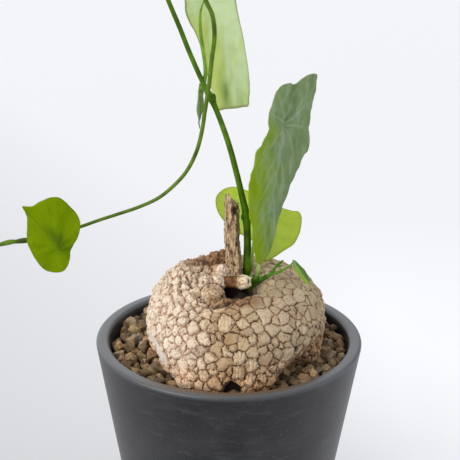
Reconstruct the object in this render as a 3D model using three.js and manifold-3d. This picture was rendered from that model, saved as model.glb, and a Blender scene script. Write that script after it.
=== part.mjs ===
// Potted stephania suberosa: a round caudex under corky bark plates, half sunk in gravel in a dark
// tapered pot. A vine climbs from its crown beside a dead woody stem, and a side shoot arches over
// and droops to the left. Each leaf is a shield that hangs on its own petiole.
// Millimetres, +Z up. The origin is the centre of the pot's base, X runs to the right and Y to the
// back of the plant.

import * as THREE from 'three';
import { mergeVertices } from 'three/addons/utils/BufferGeometryUtils.js';
import { ConvexHull } from 'three/addons/math/ConvexHull.js';
import Module from 'manifold-3d';

const wasm = await Module();
wasm.setup();

// Clearance between pieces that touch on the plant.
const gap = 0.3;

const pot = {
  height: 105,
  rimRadius: 60,
  wall: 5.8,
  slope: 0.167,
  floor: 7,
  edge: 1.2,
  drainRadius: 3.5,
  drainCircle: 20,
  drains: 4,
  drainSides: 12,
  sides: 44,
};

// The filling stands a little off the pot's wall all round.
const soil = { top: 91.5, offWall: 0.45, sides: 32 };

// Grains stand above a level that climbs a little from the front to the back, with gaps between them
// down below it. The hub is the point that the grains are laid out round, far enough below them for
// the level to be flat. Outside the pot and under the caudex, where no grain is kept, the sites lie
// further apart.
const gravel = {
  level: 100.2,
  climb: 0.055,
  hub: new THREE.Vector3(0, 0, -4),
  grain: 5.3,
  underCaudex: 3,
  outside: { radius: 60, spacing: 40 },
  rise: 0.8,
  uneven: 1.1,
  crown: 0.5,
  depth: 0.9,
  inset: 0.27,
  seed: 11,
  tries: 80000,
};

// The caudex is a rounded block about a centre, pushed out or in along the radius by a few broad
// forms. Each form has the point it is seen at, its rise and its spread as an angle in degrees.
const caudex = {
  centre: new THREE.Vector3(3.4, -1.5, 111),
  halfWidth: 40.2,
  halfDepth: 39.5,
  rise: 28,
  drop: 22,
  roundness: 2.35,
  forms: [
    { name: 'left shoulder of the crown', at: [-23, 2, 140], rise: 3.6, spread: 16 },
    { name: 'crest behind the dead stem', at: [-5, 8, 143], rise: 3, spread: 15 },
    { name: 'smooth right lobe', at: [26, 0, 138], rise: 0.8, spread: 22 },
    { name: 'hollow behind the knobs', at: [-12, -4, 141], rise: -3, spread: 8 },
    { name: 'left part of the crown crevice', at: [1, -14, 133], rise: -8.5, spread: 9.5 },
    { name: 'right part of the crown crevice', at: [9, -13, 134], rise: -8, spread: 9 },
    { name: 'crease below the large knob', at: [-6, -21, 130], rise: -3, spread: 8 },
    { name: 'bare groove on the left', at: [-38, -18, 103], rise: -3, spread: 10 },
    { name: 'small cave at the front', at: [2, -40, 98], rise: -3, spread: 6 },
    { name: 'fold under the right lobe', at: [36, -24, 98], rise: -9, spread: 19 },
    { name: 'lobe behind the fold', at: [40, 0, 97], rise: -3, spread: 16 },
    { name: 'belly', at: [4, -34, 114], rise: 1.5, spread: 26 },
    { name: 'low front', at: [-6, -40, 97], rise: 5, spread: 26 },
    { name: 'hollow above the right gravel', at: [30, -33, 99], rise: -3, spread: 13 },
  ],
  knobs: [
    { name: 'large knob', at: [-7, -18.6, 135.2], radius: 5.7, detail: 2 },
    { name: 'pale knob', at: [-2.9, -9, 140.4], radius: 3, detail: 1 },
    { name: 'crust on the crest', at: [-5.5, 2, 142], radius: 3.4, detail: 1 },
  ],
  knobRoughness: 0.16,
  knobSeed: 9,
};

// Flat bark plates with cracks between them. The bed is the hollow that the gravel and the soil
// leave round the caudex, clear of the plates' edges.
const bark = {
  depth: 0.9,
  rise: 0.2,
  uneven: 0.2,
  crown: 0,
  inset: 0.19,
  seed: 7,
  tries: 14000,
  bed: { clearance: 1.1, sides: 30, rings: 18 },
};

// How far apart the plates grow: coarse where they are buried, broad and flat on the right lobe,
// small low down and at the upper left. The first zone that a point is in holds.
const plateZones = [
  { name: 'buried', holds: ({ z }) => z < 92, apart: 12 },
  { name: 'low band', holds: ({ z }) => z < 105, apart: 5 },
  { name: 'right lobe', holds: ({ x, z }) => x > 8 && z > 117, apart: 5.9 },
  { name: 'upper left', holds: ({ x, z }) => x < -8 && z > 122, apart: 4.8 },
  { name: 'middle', holds: () => true, apart: 5.4 },
];

// Stems: points on the centre line, radii spread evenly from root to tip, and a swelling at each
// node, given as a fraction of the length.
const vine = {
  route: [[7.3, -7, 132.5], [7.6, -7, 145.5], [7.6, -7, 154], [6.8, -7.4, 166], [5, -8, 174.5],
    [2.6, -8, 184.7], [-1.1, -7, 198], [-6.7, -4.5, 212.6], [-11.9, -3, 222.8], [-17.5, -1, 235],
    [-21.6, 0, 245.2], [-26.4, 0, 256.9], [-30.2, 0, 267], [-33.4, -1, 277], [-35.5, -2, 288],
    [-35, -4, 300], [-32, -5, 311], [-28.5, -5, 318]],
  radii: [1.85, 1.6, 1.3, 1.2, 1.05, 1, 0.9, 0.8, 0.5],
  nodes: [0.17, 0.48, 0.78],
  steps: 38,
  sides: 8,
};

const sideShoot = {
  route: [[-33.4, -1, 277], [-29.5, -4, 283.5], [-23.5, -6.5, 284.5], [-18, -8, 279],
    [-14, -9, 269], [-10.8, -9, 258.8], [-8.1, -8.5, 252.6], [-7.1, -8, 244.3], [-8.1, -8, 234.6],
    [-9.4, -8.5, 222.5], [-11, -8.5, 211.7], [-12.1, -8.5, 203.9], [-14.4, -8.5, 194.6],
    [-18.8, -8, 185.3], [-24.5, -7, 178.3], [-30.9, -6, 172.6], [-39.2, -5, 168.1],
    [-48.9, -4, 164.2], [-56.6, -4, 161.5], [-65, -4, 158.3], [-76.2, -5, 155.1],
    [-89.3, -6, 151.9], [-94.8, -6, 151.7], [-100.2, -6, 150.3], [-106, -6, 147.5],
    [-110, -6, 144]],
  radii: [1, 0.95, 0.95, 0.9, 0.85, 0.8, 0.75, 0.5],
  nodes: [0.93],
  steps: 46,
  sides: 6,
};

const deadStem = {
  route: [[1.6, -9, 127.5], [1.7, -9, 144.4], [0.5, -9, 154.7], [0.2, -9, 166.2], [0.3, -9, 175]],
  radii: [3.7, 3.5, 3.15, 3.1, 2.8],
  steps: 14,
  sides: 10,
  flutes: [{ ribs: 3, depth: 0.06, twist: 4 }, { ribs: 7, depth: 0.066, twist: -9 }],
  splinter: { height: 2.6, turn: 0.4 },
  hollow: { at: [3.1, -10.5, 169], radius: 1.7, length: 2.55, roughness: 0.1, seed: 5 },
  roughness: 0.5,
};

const cutStub = {
  route: [[-4.6, -13.6, 136.6], [0, -15.4, 137.2], [3.6, -16.2, 137.5], [7.6, -16.4, 137.6]],
  radii: [2, 2, 2.1, 2.7],
  steps: 5,
  sides: 8,
};

const sprout = {
  stem: {
    route: [[8, -10.5, 127], [9.4, -11, 133.6], [12.6, -11, 136.7], [15.8, -11, 138.8],
      [18.4, -11, 140.7]],
    radii: [1.5, 1.1, 0.8],
    steps: 7,
    sides: 6,
  },
  upperTwig: {
    route: [[18, -11, 140.3], [19.7, -11, 143.2], [23.5, -11, 146.1]],
    radii: [0.7, 0.6, 0.4],
    steps: 3,
    sides: 6,
  },
};

// Leaves. The blade's own plane runs across and along it, from tip to attachment, and each outline
// goes once round it, as [across, along] from the attachment. The petiole runs from its root to the
// blade's underside, which is the face that looks against the plane's normal where under is 1.
const leaves = [
  {
    name: 'big_leaf',
    attach: [24.6, 8, 201.2],
    tip: [13.7, -12, 144.3],
    across: [0.5, 0.866, 0],
    outline: [[0, -61.3], [-5.5, -58.5], [-11, -53], [-15.5, -46], [-21.5, -39], [-24.3, -30],
      [-24.3, -20], [-22.5, -12], [-17.5, -5], [-19.2, 1], [-18.8, 7.5], [-16.5, 12.5],
      [-11, 16.5], [-5.5, 18.2], [-0.5, 17.8], [4.5, 21.5], [12, 25.2], [19, 25.4], [20, 19],
      [19.5, 11], [21, 3], [23.8, -3], [23.8, -8], [19.5, -13], [15, -21], [12, -28], [8.5, -36],
      [6.5, -43], [7, -50], [3, -58]],
    under: 1,
    fold: 0.1,
    wave: 0.9,
    waves: 7,
    dimple: 1.4,
    spokes: 44,
    rings: 3,
    petiole: {
      route: [[10.9, -8, 132], [12.6, -7, 140], [13.2, -3, 150], [13.6, 1, 170], [17, 8, 189]],
      radii: [1.1, 0.9, 0.8],
      steps: 10,
    },
  },
  {
    name: 'back_leaf',
    attach: [14.4, 20, 155.9],
    tip: [16.2, 4, 141],
    across: [0.97, 0.18, 0],
    outline: [[0.3, -21.5], [-5.5, -12.5], [-12, -8.7], [-18, -3.5], [-21, 2.5], [-20.5, 8],
      [-17, 12.8], [-12, 14.2], [-5, 11.5], [2, 7], [10, 3.2], [14, 2.4], [18.2, 1.8], [18.8, -2],
      [17.4, -7.5], [14, -13.7], [8.5, -17.4], [3.5, -19.8]],
    under: 1,
    fold: -0.12,
    wave: 0.8,
    waves: 5,
    dimple: 1,
    spokes: 30,
    rings: 2,
    petiole: {
      route: [[9.8, -3, 133.5], [10, -2, 141], [10.2, 3, 147], [11.5, 11, 149.5], [13.4, 17, 151.4]],
      radii: [0.9, 0.7, 0.6],
      steps: 8,
    },
  },
  {
    name: 'top_leaf',
    attach: [-11.4, 12, 254.3],
    tip: [-5.4, 18.5, 203.7],
    across: [0.97, 0.25, 0],
    outline: [[0.5, -50], [-2, -42], [-4, -25], [-6, -13], [-8.2, -7], [-9.8, 0], [-9.8, 9],
      [-5.5, 16.8], [2, 19], [9, 15.8], [13, 7], [13.8, -4], [14.8, -20], [15.2, -35],
      [15.2, -45.5], [13, -49.8], [8, -51], [4, -50.6]],
    under: 1,
    fold: 0.08,
    wave: 0.8,
    waves: 5,
    dimple: 0.8,
    spokes: 30,
    rings: 2,
    petiole: {
      route: [[-11.5, -3, 222], [-10.9, -1, 227], [-12, 2, 235.7], [-13.2, 5, 243.9],
        [-13.2, 8, 250.3]],
      radii: [0.95, 0.8, 0.7],
      steps: 8,
    },
  },
  {
    name: 'narrow_leaf',
    attach: [-13.8, 2.6, 214],
    tip: [-13.2, 4.5, 201],
    across: [0.3, 0.95, 0],
    outline: [[0, -13], [-3.5, -8], [-5.8, -2], [-4.6, 4], [0, 5.8], [4.6, 4], [5.8, -2],
      [3.5, -8]],
    under: 1,
    fold: 0.15,
    wave: 0.3,
    waves: 4,
    dimple: 0.4,
    spokes: 14,
    rings: 2,
    petiole: {
      route: [[-11.6, -3.2, 222.3], [-11.8, -1.6, 219], [-12.4, 1.2, 216.2]],
      radii: [0.7, 0.6, 0.6],
      steps: 4,
    },
  },
  {
    name: 'left_leaf',
    attach: [-73.3, -12, 153.7],
    tip: [-87.7, -14, 169.8],
    across: [0.75, -0.25, 0.6],
    outline: [[0, -21.7], [5, -19.6], [12, -17.8], [14.8, -16], [16, -12], [16, -6], [13.8, -1],
      [10, 2.4], [6, 3.9], [2.5, 4.6], [-0.5, 6.8], [-5, 10.2], [-9.5, 11.8], [-13.8, 10.4],
      [-16.6, 6.5], [-16.6, 0.5], [-13.2, -7], [-9.5, -11.5], [-4.5, -15.2], [-0.8, -19.3]],
    under: 1,
    fold: -0.14,
    wave: 0.7,
    waves: 5,
    dimple: 1.6,
    spokes: 32,
    rings: 3,
    petiole: {
      route: [[-93.6, -6, 151.7], [-90, -7.2, 153.2], [-83, -8.4, 154.2], [-77, -9.2, 154]],
      radii: [0.85, 0.7, 0.6],
      steps: 5,
    },
  },
  {
    name: 'sprout_leaf',
    attach: [27.6, -10.4, 145.4],
    tip: [34.7, -11, 134.7],
    across: [0.86, -0.3, 0.4],
    outline: [[0, -12.8], [-2.2, -8.5], [-3, -4], [-2.2, -0.5], [-0.4, 1.2], [1.3, 0.6], [2.4, -2],
      [2.9, -6], [1.6, -10]],
    under: 1,
    fold: 0.45,
    wave: 0,
    waves: 1,
    dimple: 0,
    spokes: 14,
    rings: 2,
    petiole: {
      route: [[18.6, -11, 139.9], [21.2, -11, 140.7], [24.1, -11, 142.2], [26.6, -10.6, 144]],
      radii: [0.7, 0.6, 0.5],
      steps: 5,
    },
  },
  {
    name: 'upper_leaf',
    attach: [-52, -10, 285],
    tip: [-66, -16, 268],
    across: [0.6, -0.75, -0.2],
    outline: [[0, -22.8], [4, -18], [11, -9], [14.5, -1], [12.5, 6.5], [6, 9.8], [0, 8.6],
      [-6, 9.8], [-12.5, 6.5], [-14.5, -1], [-11, -9], [-4, -18]],
    under: -1,
    fold: -0.1,
    wave: 0.6,
    waves: 5,
    dimple: 1,
    spokes: 20,
    rings: 2,
    petiole: {
      route: [[-33.5, -1, 277.5], [-38, -3.5, 283], [-45, -7, 286], [-50, -9, 284.4]],
      radii: [0.8, 0.7, 0.6],
      steps: 6,
    },
  },
  {
    name: 'tip_leaf',
    attach: [-22.4, -8, 311],
    tip: [-15.5, -11.5, 300],
    across: [0.8, -0.4, 0.45],
    outline: [[0, -13], [2.5, -10], [6, -4.5], [6.8, 0.5], [4, 4.6], [0, 4], [-4, 4.6],
      [-6.8, 0.5], [-6, -4.5], [-2.5, -10]],
    under: -1,
    fold: -0.12,
    wave: 0.3,
    waves: 4,
    dimple: 0.4,
    spokes: 16,
    rings: 2,
    petiole: {
      route: [[-32, -5, 311], [-28.5, -6, 311.5], [-25, -7, 312.6], [-23, -7.6, 311.6]],
      radii: [0.6, 0.5, 0.5],
      steps: 4,
    },
  },
];

const petioleSides = 6;
const petioleEnd = 0.9;
const bladeThickness = 0.7;
const dimpleRadius = 3.5;
const nodeSwelling = 0.45;

// A repeatable stream of random numbers from 0 to 1.
function seeded(seed) {
  let state = seed;
  return () => {
    state = (state + 0x6d2b79f5) | 0;
    let mixed = Math.imul(state ^ (state >>> 15), 1 | state);
    mixed = (mixed + Math.imul(mixed ^ (mixed >>> 7), 61 | mixed)) ^ mixed;
    return ((mixed ^ (mixed >>> 14)) >>> 0) / 4294967296;
  };
}

function vector([x, y, z]) {
  return new THREE.Vector3(x, y, z);
}

// A closed geometry as a solid: shared corners are merged and faces of no area dropped.
function solid(geometry) {
  const bare = geometry.clone();
  bare.deleteAttribute('normal');
  bare.deleteAttribute('uv');
  const merged = mergeVertices(bare, 1e-4);
  const triangles = [];
  const index = merged.index.array;
  for (let i = 0; i < index.length; i += 3) {
    const [a, b, c] = [index[i], index[i + 1], index[i + 2]];
    if (a !== b && b !== c && c !== a) triangles.push(a, b, c);
  }
  return new wasm.Manifold(new wasm.Mesh({
    numProp: 3,
    vertProperties: new Float32Array(merged.attributes.position.array),
    triVerts: new Uint32Array(triangles),
  }));
}

// The largest body of a solid, without loose scraps that a cut left behind.
function largest(whole) {
  const bodies = whole.decompose();
  return bodies.reduce((best, body) => (body.volume() > best.volume() ? body : best));
}

function add(name, body, material) {
  const { vertProperties, triVerts } = largest(body).getMesh();
  const geometry = new THREE.BufferGeometry();
  geometry.setAttribute('position', new THREE.BufferAttribute(vertProperties, 3));
  geometry.setIndex(new THREE.BufferAttribute(triVerts, 1));
  geometry.computeVertexNormals();
  const mesh = new THREE.Mesh(geometry, material);
  mesh.name = name;
  plant.add(mesh);
}

// A solid turned round Z from [radius, height] points that start and end on the axis, bottom first.
function turned(profile, sides) {
  const lathe = new THREE.LatheGeometry(profile.map(([r, z]) => new THREE.Vector2(r, z)), sides);
  return solid(lathe.rotateX(Math.PI / 2));
}

// The value at a fraction of a list that is spread evenly along a length.
function spread(list, fraction) {
  const place = fraction * (list.length - 1);
  const low = Math.min(Math.floor(place), list.length - 2);
  return THREE.MathUtils.lerp(list[low], list[low + 1], place - low);
}

// A tapering stem along its route. A clearance makes it thicker and longer all round, as a plain
// hole for it. Roughen, where given, moves each corner of the stem's surface.
function stem({ route, radii, nodes = [], steps, sides = petioleSides }, clearance = 0, roughen) {
  const points = route.map(vector);
  const lead = points[0].clone().sub(points[1]).setLength(clearance);
  points[0].add(lead);
  const path = new THREE.CatmullRomCurve3(points);
  const ring = [];
  for (let i = 0; i < sides; i += 1) {
    const turn = (i / sides) * 2 * Math.PI;
    ring.push(new THREE.Vector2(Math.cos(turn), Math.sin(turn)));
  }
  const geometry = new THREE.ExtrudeGeometry(new THREE.Shape(ring), {
    steps,
    bevelEnabled: false,
    extrudePath: path,
  });
  const centres = path.getSpacedPoints(steps);
  const position = geometry.attributes.position;
  const corner = new THREE.Vector3();
  for (let i = 0; i < position.count; i += 1) {
    corner.fromBufferAttribute(position, i);
    let nearest = 0;
    centres.forEach((centre, k) => {
      if (corner.distanceTo(centre) < corner.distanceTo(centres[nearest])) nearest = k;
    });
    const fraction = nearest / steps;
    let radius = spread(radii, fraction) + clearance;
    for (const node of nodes) {
      radius += nodeSwelling * Math.exp(-(((fraction - node) * steps) ** 2));
    }
    corner.sub(centres[nearest]).multiplyScalar(radius);
    if (roughen) roughen(corner, fraction);
    corner.add(centres[nearest]);
    position.setXYZ(i, corner.x, corner.y, corner.z);
  }
  return solid(geometry);
}

// Distance from the caudex's centre to its skin in a direction.
function caudexRadius(direction) {
  const upright = direction.z > 0 ? caudex.rise : caudex.drop;
  const power = caudex.roundness;
  const sum = Math.abs(direction.x / caudex.halfWidth) ** power
    + Math.abs(direction.y / caudex.halfDepth) ** power
    + Math.abs(direction.z / upright) ** power;
  let radius = sum ** (-1 / power);
  for (const form of caudex.forms) {
    const towards = vector(form.at).sub(caudex.centre).normalize();
    const angle = THREE.MathUtils.radToDeg(Math.acos(Math.min(1, direction.dot(towards))));
    radius += form.rise * Math.exp(-((angle / form.spread) ** 2));
  }
  return radius;
}

function caudexPoint(direction, proud) {
  return direction.clone().multiplyScalar(caudexRadius(direction) + proud).add(caudex.centre);
}

// The caudex's smooth form, swollen all round, to cut its bed with.
function caudexForm(proud) {
  const geometry = new THREE.SphereGeometry(1, bark.bed.sides, bark.bed.rings);
  const position = geometry.attributes.position;
  const direction = new THREE.Vector3();
  for (let i = 0; i < position.count; i += 1) {
    direction.fromBufferAttribute(position, i).normalize();
    const point = caudexPoint(direction, proud);
    position.setXYZ(i, point.x, point.y, point.z);
  }
  return solid(geometry);
}

function plateSpacing(point) {
  return plateZones.find((zone) => zone.holds(point)).apart;
}

// Directions from a hub, no two of whose points on the surface are nearer than their spacing.
function scatter({ seed, tries }, place, spacing) {
  const random = seeded(seed);
  const sites = [];
  for (let i = 0; i < tries; i += 1) {
    const height = 2 * random() - 1;
    const turn = 2 * Math.PI * random();
    const flat = Math.sqrt(1 - height * height);
    const direction = new THREE.Vector3(flat * Math.cos(turn), flat * Math.sin(turn), height);
    const point = place(direction, 0);
    const apart = spacing(point);
    const free = sites.every((site) => site.point.distanceTo(point) > apart);
    if (free) sites.push({ direction, point });
  }
  return sites.map((site) => site.direction);
}

// A surface of cells, one round each site: low in the gaps at its edge and raised inside them.
function cells(sites, { depth, rise, uneven, crown, inset, seed }, place) {
  const random = seeded(seed + 1);
  const askew = new THREE.Vector3(0.3, 0.2, 0.9);
  const hull = new ConvexHull().setFromPoints(sites);
  const corners = new Map(sites.map((site) => [site, []]));
  const positions = [];
  const triangles = [];
  const put = (direction, proud) => positions.push(...place(direction, proud).toArray()) / 3 - 1;
  for (const face of hull.faces) {
    const corner = { direction: face.normal.clone(), index: put(face.normal, -depth) };
    let edge = face.edge;
    do {
      corners.get(edge.head().point).push(corner);
      edge = edge.next;
    } while (edge !== face.edge);
  }
  for (const [site, ring] of corners) {
    const east = askew.clone().cross(site).normalize();
    const north = site.clone().cross(east);
    const turn = (corner) => Math.atan2(corner.direction.dot(north), corner.direction.dot(east));
    ring.sort((a, b) => turn(a) - turn(b));
    const raised = rise + uneven * (random() - 0.5);
    const inner = ring.map((corner) => put(
      corner.direction.clone().lerp(site, inset).normalize(),
      raised,
    ));
    const middle = crown ? put(site, raised + crown) : inner[0];
    ring.forEach((corner, i) => {
      const next = (i + 1) % ring.length;
      triangles.push(corner.index, ring[next].index, inner[next]);
      triangles.push(corner.index, inner[next], inner[i]);
      triangles.push(inner[i], inner[next], middle);
    });
  }
  const geometry = new THREE.BufferGeometry();
  geometry.setAttribute('position', new THREE.Float32BufferAttribute(positions, 3));
  geometry.setIndex(triangles);
  return solid(geometry);
}

// A rough lump: an icosahedron with its corners moved in and out.
function lump(centre, radii, detail, roughness, random) {
  const geometry = new THREE.IcosahedronGeometry(1, detail);
  const position = geometry.attributes.position;
  const moved = new Map();
  const corner = new THREE.Vector3();
  const turn = new THREE.Euler(
    2 * Math.PI * random(),
    2 * Math.PI * random(),
    2 * Math.PI * random(),
  );
  for (let i = 0; i < position.count; i += 1) {
    corner.fromBufferAttribute(position, i);
    const key = corner.toArray().map((value) => Math.round(1000 * value)).join();
    if (!moved.has(key)) moved.set(key, 1 + roughness * (2 * random() - 1));
    corner.multiplyScalar(moved.get(key)).applyEuler(turn).multiply(radii).add(centre);
    position.setXYZ(i, corner.x, corner.y, corner.z);
  }
  return solid(geometry);
}

// A thin blade over its outline, cut alike on both faces, with its fold, dimple and waved edge.
function blade(leaf) {
  const attach = vector(leaf.attach);
  const along = attach.clone().sub(vector(leaf.tip)).normalize();
  const across = vector(leaf.across);
  across.addScaledVector(along, -across.dot(along)).normalize();
  const facing = across.clone().cross(along);
  const edge = new THREE.CatmullRomCurve3(
    leaf.outline.map(([u, v]) => new THREE.Vector3(u, v, 0)),
    true,
    'centripetal',
  ).getPoints(leaf.spokes).slice(0, -1);
  const surface = (spoke, share) => {
    const { x, y } = edge[spoke].clone().multiplyScalar(share);
    const ripple = Math.sin((2 * Math.PI * leaf.waves * spoke) / leaf.spokes) * share * share;
    const height = leaf.fold * Math.abs(x) + leaf.wave * ripple
      - leaf.dimple * Math.exp(-(x * x + y * y) / dimpleRadius ** 2);
    return attach.clone().addScaledVector(across, x).addScaledVector(along, y)
      .addScaledVector(facing, height);
  };
  const positions = [];
  const triangles = [];
  const put = (point, side) => {
    const face = point.clone().addScaledVector(facing, (side * bladeThickness) / 2);
    return positions.push(...face.toArray()) / 3 - 1;
  };
  const shares = Array.from({ length: leaf.rings }, (_, k) => (k + 1) / leaf.rings);
  const sides = [1, -1].map((side) => ({
    middle: put(surface(0, 0), side),
    rings: shares.map((share) => edge.map((_, spoke) => put(surface(spoke, share), side))),
    side,
  }));
  const fill = (a, b, c, side) => triangles.push(...(side > 0 ? [a, b, c] : [a, c, b]));
  const count = edge.length;
  for (const { middle, rings, side } of sides) {
    for (let i = 0; i < count; i += 1) {
      const next = (i + 1) % count;
      fill(middle, rings[0][next], rings[0][i], side);
      for (let k = 1; k < rings.length; k += 1) {
        fill(rings[k - 1][i], rings[k - 1][next], rings[k][next], side);
        fill(rings[k - 1][i], rings[k][next], rings[k][i], side);
      }
    }
  }
  const [upper, lower] = sides.map(({ rings }) => rings[rings.length - 1]);
  for (let i = 0; i < count; i += 1) {
    const next = (i + 1) % count;
    triangles.push(upper[next], lower[next], lower[i], upper[next], lower[i], upper[i]);
  }
  const geometry = new THREE.BufferGeometry();
  geometry.setAttribute('position', new THREE.Float32BufferAttribute(positions, 3));
  geometry.setIndex(triangles);
  const sunk = -petioleEnd * leaf.under - leaf.dimple;
  const underside = attach.clone().addScaledVector(facing, sunk);
  return { body: outward(geometry), underside };
}

// A closed geometry whose faces may all point in, as a solid with its faces out.
function outward(geometry) {
  const body = solid(geometry);
  if (body.volume() > 0) return body;
  const { array } = geometry.index;
  for (let i = 0; i < array.length; i += 3) [array[i], array[i + 1]] = [array[i + 1], array[i]];
  return solid(geometry);
}

function finish(color, roughness, metalness = 0) {
  return new THREE.MeshStandardMaterial({ color, roughness, metalness });
}

const potClay = finish(0x45464a, 0.8);
const soilMix = finish(0x5b4a3a, 0.95);
const pumice = finish(0x9a7c5c, 0.95);
const corkBark = finish(0xcdb596, 0.9);
const deadWood = finish(0xc4a684, 0.9);
const cutWood = finish(0xa8784a, 0.7);
const greenStem = finish(0x3f7010, 0.5);
const leafGreen = finish(0x7d9a30, 0.5);

const plant = new THREE.Group();
plant.name = 'potted_stephania_suberosa';

const outerRadius = (z) => pot.rimRadius - (pot.height - z) * pot.slope;
const innerRadius = (z) => outerRadius(z) - pot.wall;

function potBody() {
  const { height, edge, floor } = pot;
  const rimInside = innerRadius(height);
  let body = turned([
    [0, 0],
    [outerRadius(0) - edge, 0],
    [outerRadius(edge), edge],
    [outerRadius(height - 1.4 * edge), height - 1.4 * edge],
    [outerRadius(height) - 0.35 * edge, height - 0.4 * edge],
    [outerRadius(height) - 1.3 * edge, height],
    [rimInside + 0.7 * edge, height],
    [rimInside, height - 0.7 * edge],
    [innerRadius(floor + 4 * edge), floor + 4 * edge],
    [innerRadius(floor) - 3 * edge, floor],
    [0, floor],
  ], pot.sides);
  for (let i = 0; i < pot.drains; i += 1) {
    const turn = ((i + 0.5) / pot.drains) * 2 * Math.PI;
    const drain = new THREE.CylinderGeometry(
      pot.drainRadius,
      pot.drainRadius,
      3 * floor,
      pot.drainSides,
    );
    drain.rotateX(Math.PI / 2);
    drain.translate(pot.drainCircle * Math.cos(turn), pot.drainCircle * Math.sin(turn), 0);
    body = body.subtract(solid(drain));
  }
  return body;
}

function soilBody() {
  const radius = (z) => innerRadius(z) - soil.offWall;
  const bottom = pot.floor + gap;
  return turned([
    [0, bottom],
    [radius(pot.floor) - 4 * pot.edge, bottom],
    [radius(pot.floor + 6 * pot.edge), pot.floor + 6 * pot.edge],
    [radius(soil.top), soil.top],
    [0, soil.top],
  ], soil.sides);
}

// A point of the gravel's level in a direction from the hub, or of a small ball outside the pot.
function gravelPoint(direction, proud) {
  const lift = gravel.level - gravel.hub.z + proud;
  const reach = lift / Math.max(direction.z - gravel.climb * direction.y, 1e-6);
  const inPot = reach * Math.hypot(direction.x, direction.y) < pot.rimRadius;
  const length = inPot ? reach : gravel.outside.radius;
  return direction.clone().multiplyScalar(length).add(gravel.hub);
}

function grainSpacing(point) {
  if (point.z < soil.top) return gravel.outside.spacing;
  const fromCaudex = point.clone().sub(caudex.centre);
  const inside = caudexRadius(fromCaudex.clone().normalize()) - fromCaudex.length();
  return inside > 0.6 * gravel.grain ? gravel.underCaudex * gravel.grain : gravel.grain;
}

// Grains packed side by side in the pot's mouth, over the soil.
function gravelBody() {
  const bottom = soil.top + gap;
  const above = pot.height;
  const radius = (z) => innerRadius(z) - soil.offWall;
  const mouth = turned([
    [0, bottom],
    [radius(bottom), bottom],
    [radius(above), above],
    [0, above],
  ], soil.sides);
  const sites = scatter(gravel, gravelPoint, grainSpacing);
  return cells(sites, gravel, gravelPoint).intersect(mouth);
}

function caudexBody() {
  const random = seeded(caudex.knobSeed);
  let body = cells(scatter(bark, caudexPoint, plateSpacing), bark, caudexPoint);
  for (const knob of caudex.knobs) {
    const radii = new THREE.Vector3(knob.radius, knob.radius, knob.radius);
    body = body.add(lump(vector(knob.at), radii, knob.detail, caudex.knobRoughness, random));
  }
  return body;
}

// The dead stem is fluted along its length, broken off in a splinter and rotten through at one side.
function deadStemBody() {
  const body = stem(deadStem, 0, (offset, fraction) => {
    const turn = Math.atan2(offset.y, offset.x);
    const flutes = deadStem.flutes.map(({ ribs, depth, twist }) => (
      depth * Math.sin(ribs * turn + twist * fraction)
    ));
    offset.multiplyScalar(flutes.reduce((sum, flute) => sum + flute, 1));
    const { height, turn: lowest } = deadStem.splinter;
    if (fraction === 1) offset.z -= (height * (1 + Math.cos(turn - lowest))) / 2;
  });
  const { at, radius, length, roughness, seed } = deadStem.hollow;
  const radii = new THREE.Vector3(radius, radius, length);
  return body.subtract(lump(vector(at), radii, 0, roughness, seeded(seed)));
}

const holes = [];

// Adds a piece after cutting the plain holes of the stems that already stand there.
function seat(name, body, material, keepClear) {
  const cut = holes.length ? body.subtract(wasm.Manifold.union(holes)) : body;
  add(name, cut, material);
  holes.push(...keepClear);
}

seat('vine', stem(vine), greenStem, [stem(vine, gap)]);
seat('dead_stem', deadStemBody(), deadWood, [stem(deadStem, gap + deadStem.roughness)]);
seat('side_shoot', stem(sideShoot), greenStem, [stem(sideShoot, gap)]);
const sproutBody = stem(sprout.stem).add(stem(sprout.upperTwig));
seat('sprout', sproutBody, greenStem, [stem(sprout.stem, gap), stem(sprout.upperTwig, gap)]);
for (const leaf of leaves) {
  const { body, underside } = blade(leaf);
  const petiole = { ...leaf.petiole, route: [...leaf.petiole.route, underside.toArray()] };
  seat(leaf.name, body.add(stem(petiole)), leafGreen, [stem(petiole, gap)]);
}
seat('cut_stub', stem(cutStub), cutWood, [stem(cutStub, gap)]);
seat('caudex', caudexBody(), corkBark, [caudexForm(bark.bed.clearance)]);
seat('gravel', gravelBody(), pumice, []);
seat('soil', soilBody(), soilMix, []);
add('pot', potBody(), potClay);

export default plant;
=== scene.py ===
import math
import random

import bpy
import numpy as np
from mathutils import Matrix, Vector, noise


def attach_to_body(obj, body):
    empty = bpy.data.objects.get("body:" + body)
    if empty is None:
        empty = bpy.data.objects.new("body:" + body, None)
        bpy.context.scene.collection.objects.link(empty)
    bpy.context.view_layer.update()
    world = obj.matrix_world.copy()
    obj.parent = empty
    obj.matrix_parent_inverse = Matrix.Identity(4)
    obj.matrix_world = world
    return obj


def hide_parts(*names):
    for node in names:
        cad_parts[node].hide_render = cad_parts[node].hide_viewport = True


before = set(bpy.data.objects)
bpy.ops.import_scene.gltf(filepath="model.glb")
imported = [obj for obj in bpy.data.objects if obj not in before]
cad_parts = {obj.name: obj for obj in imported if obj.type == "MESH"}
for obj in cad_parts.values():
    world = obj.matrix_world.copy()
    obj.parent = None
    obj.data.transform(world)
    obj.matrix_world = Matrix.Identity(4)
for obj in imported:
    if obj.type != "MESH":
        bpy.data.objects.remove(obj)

# A potted stephania suberosa: a corky caudex half sunk in gravel in a dark pot, with a climbing vine,
# a dead woody stem, a side shoot that droops to the left, and leaves that hang like shields.
# Sizes and places are millimetres in the plant's own frame, and MM turns them to metres.
MM = 0.001
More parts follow.
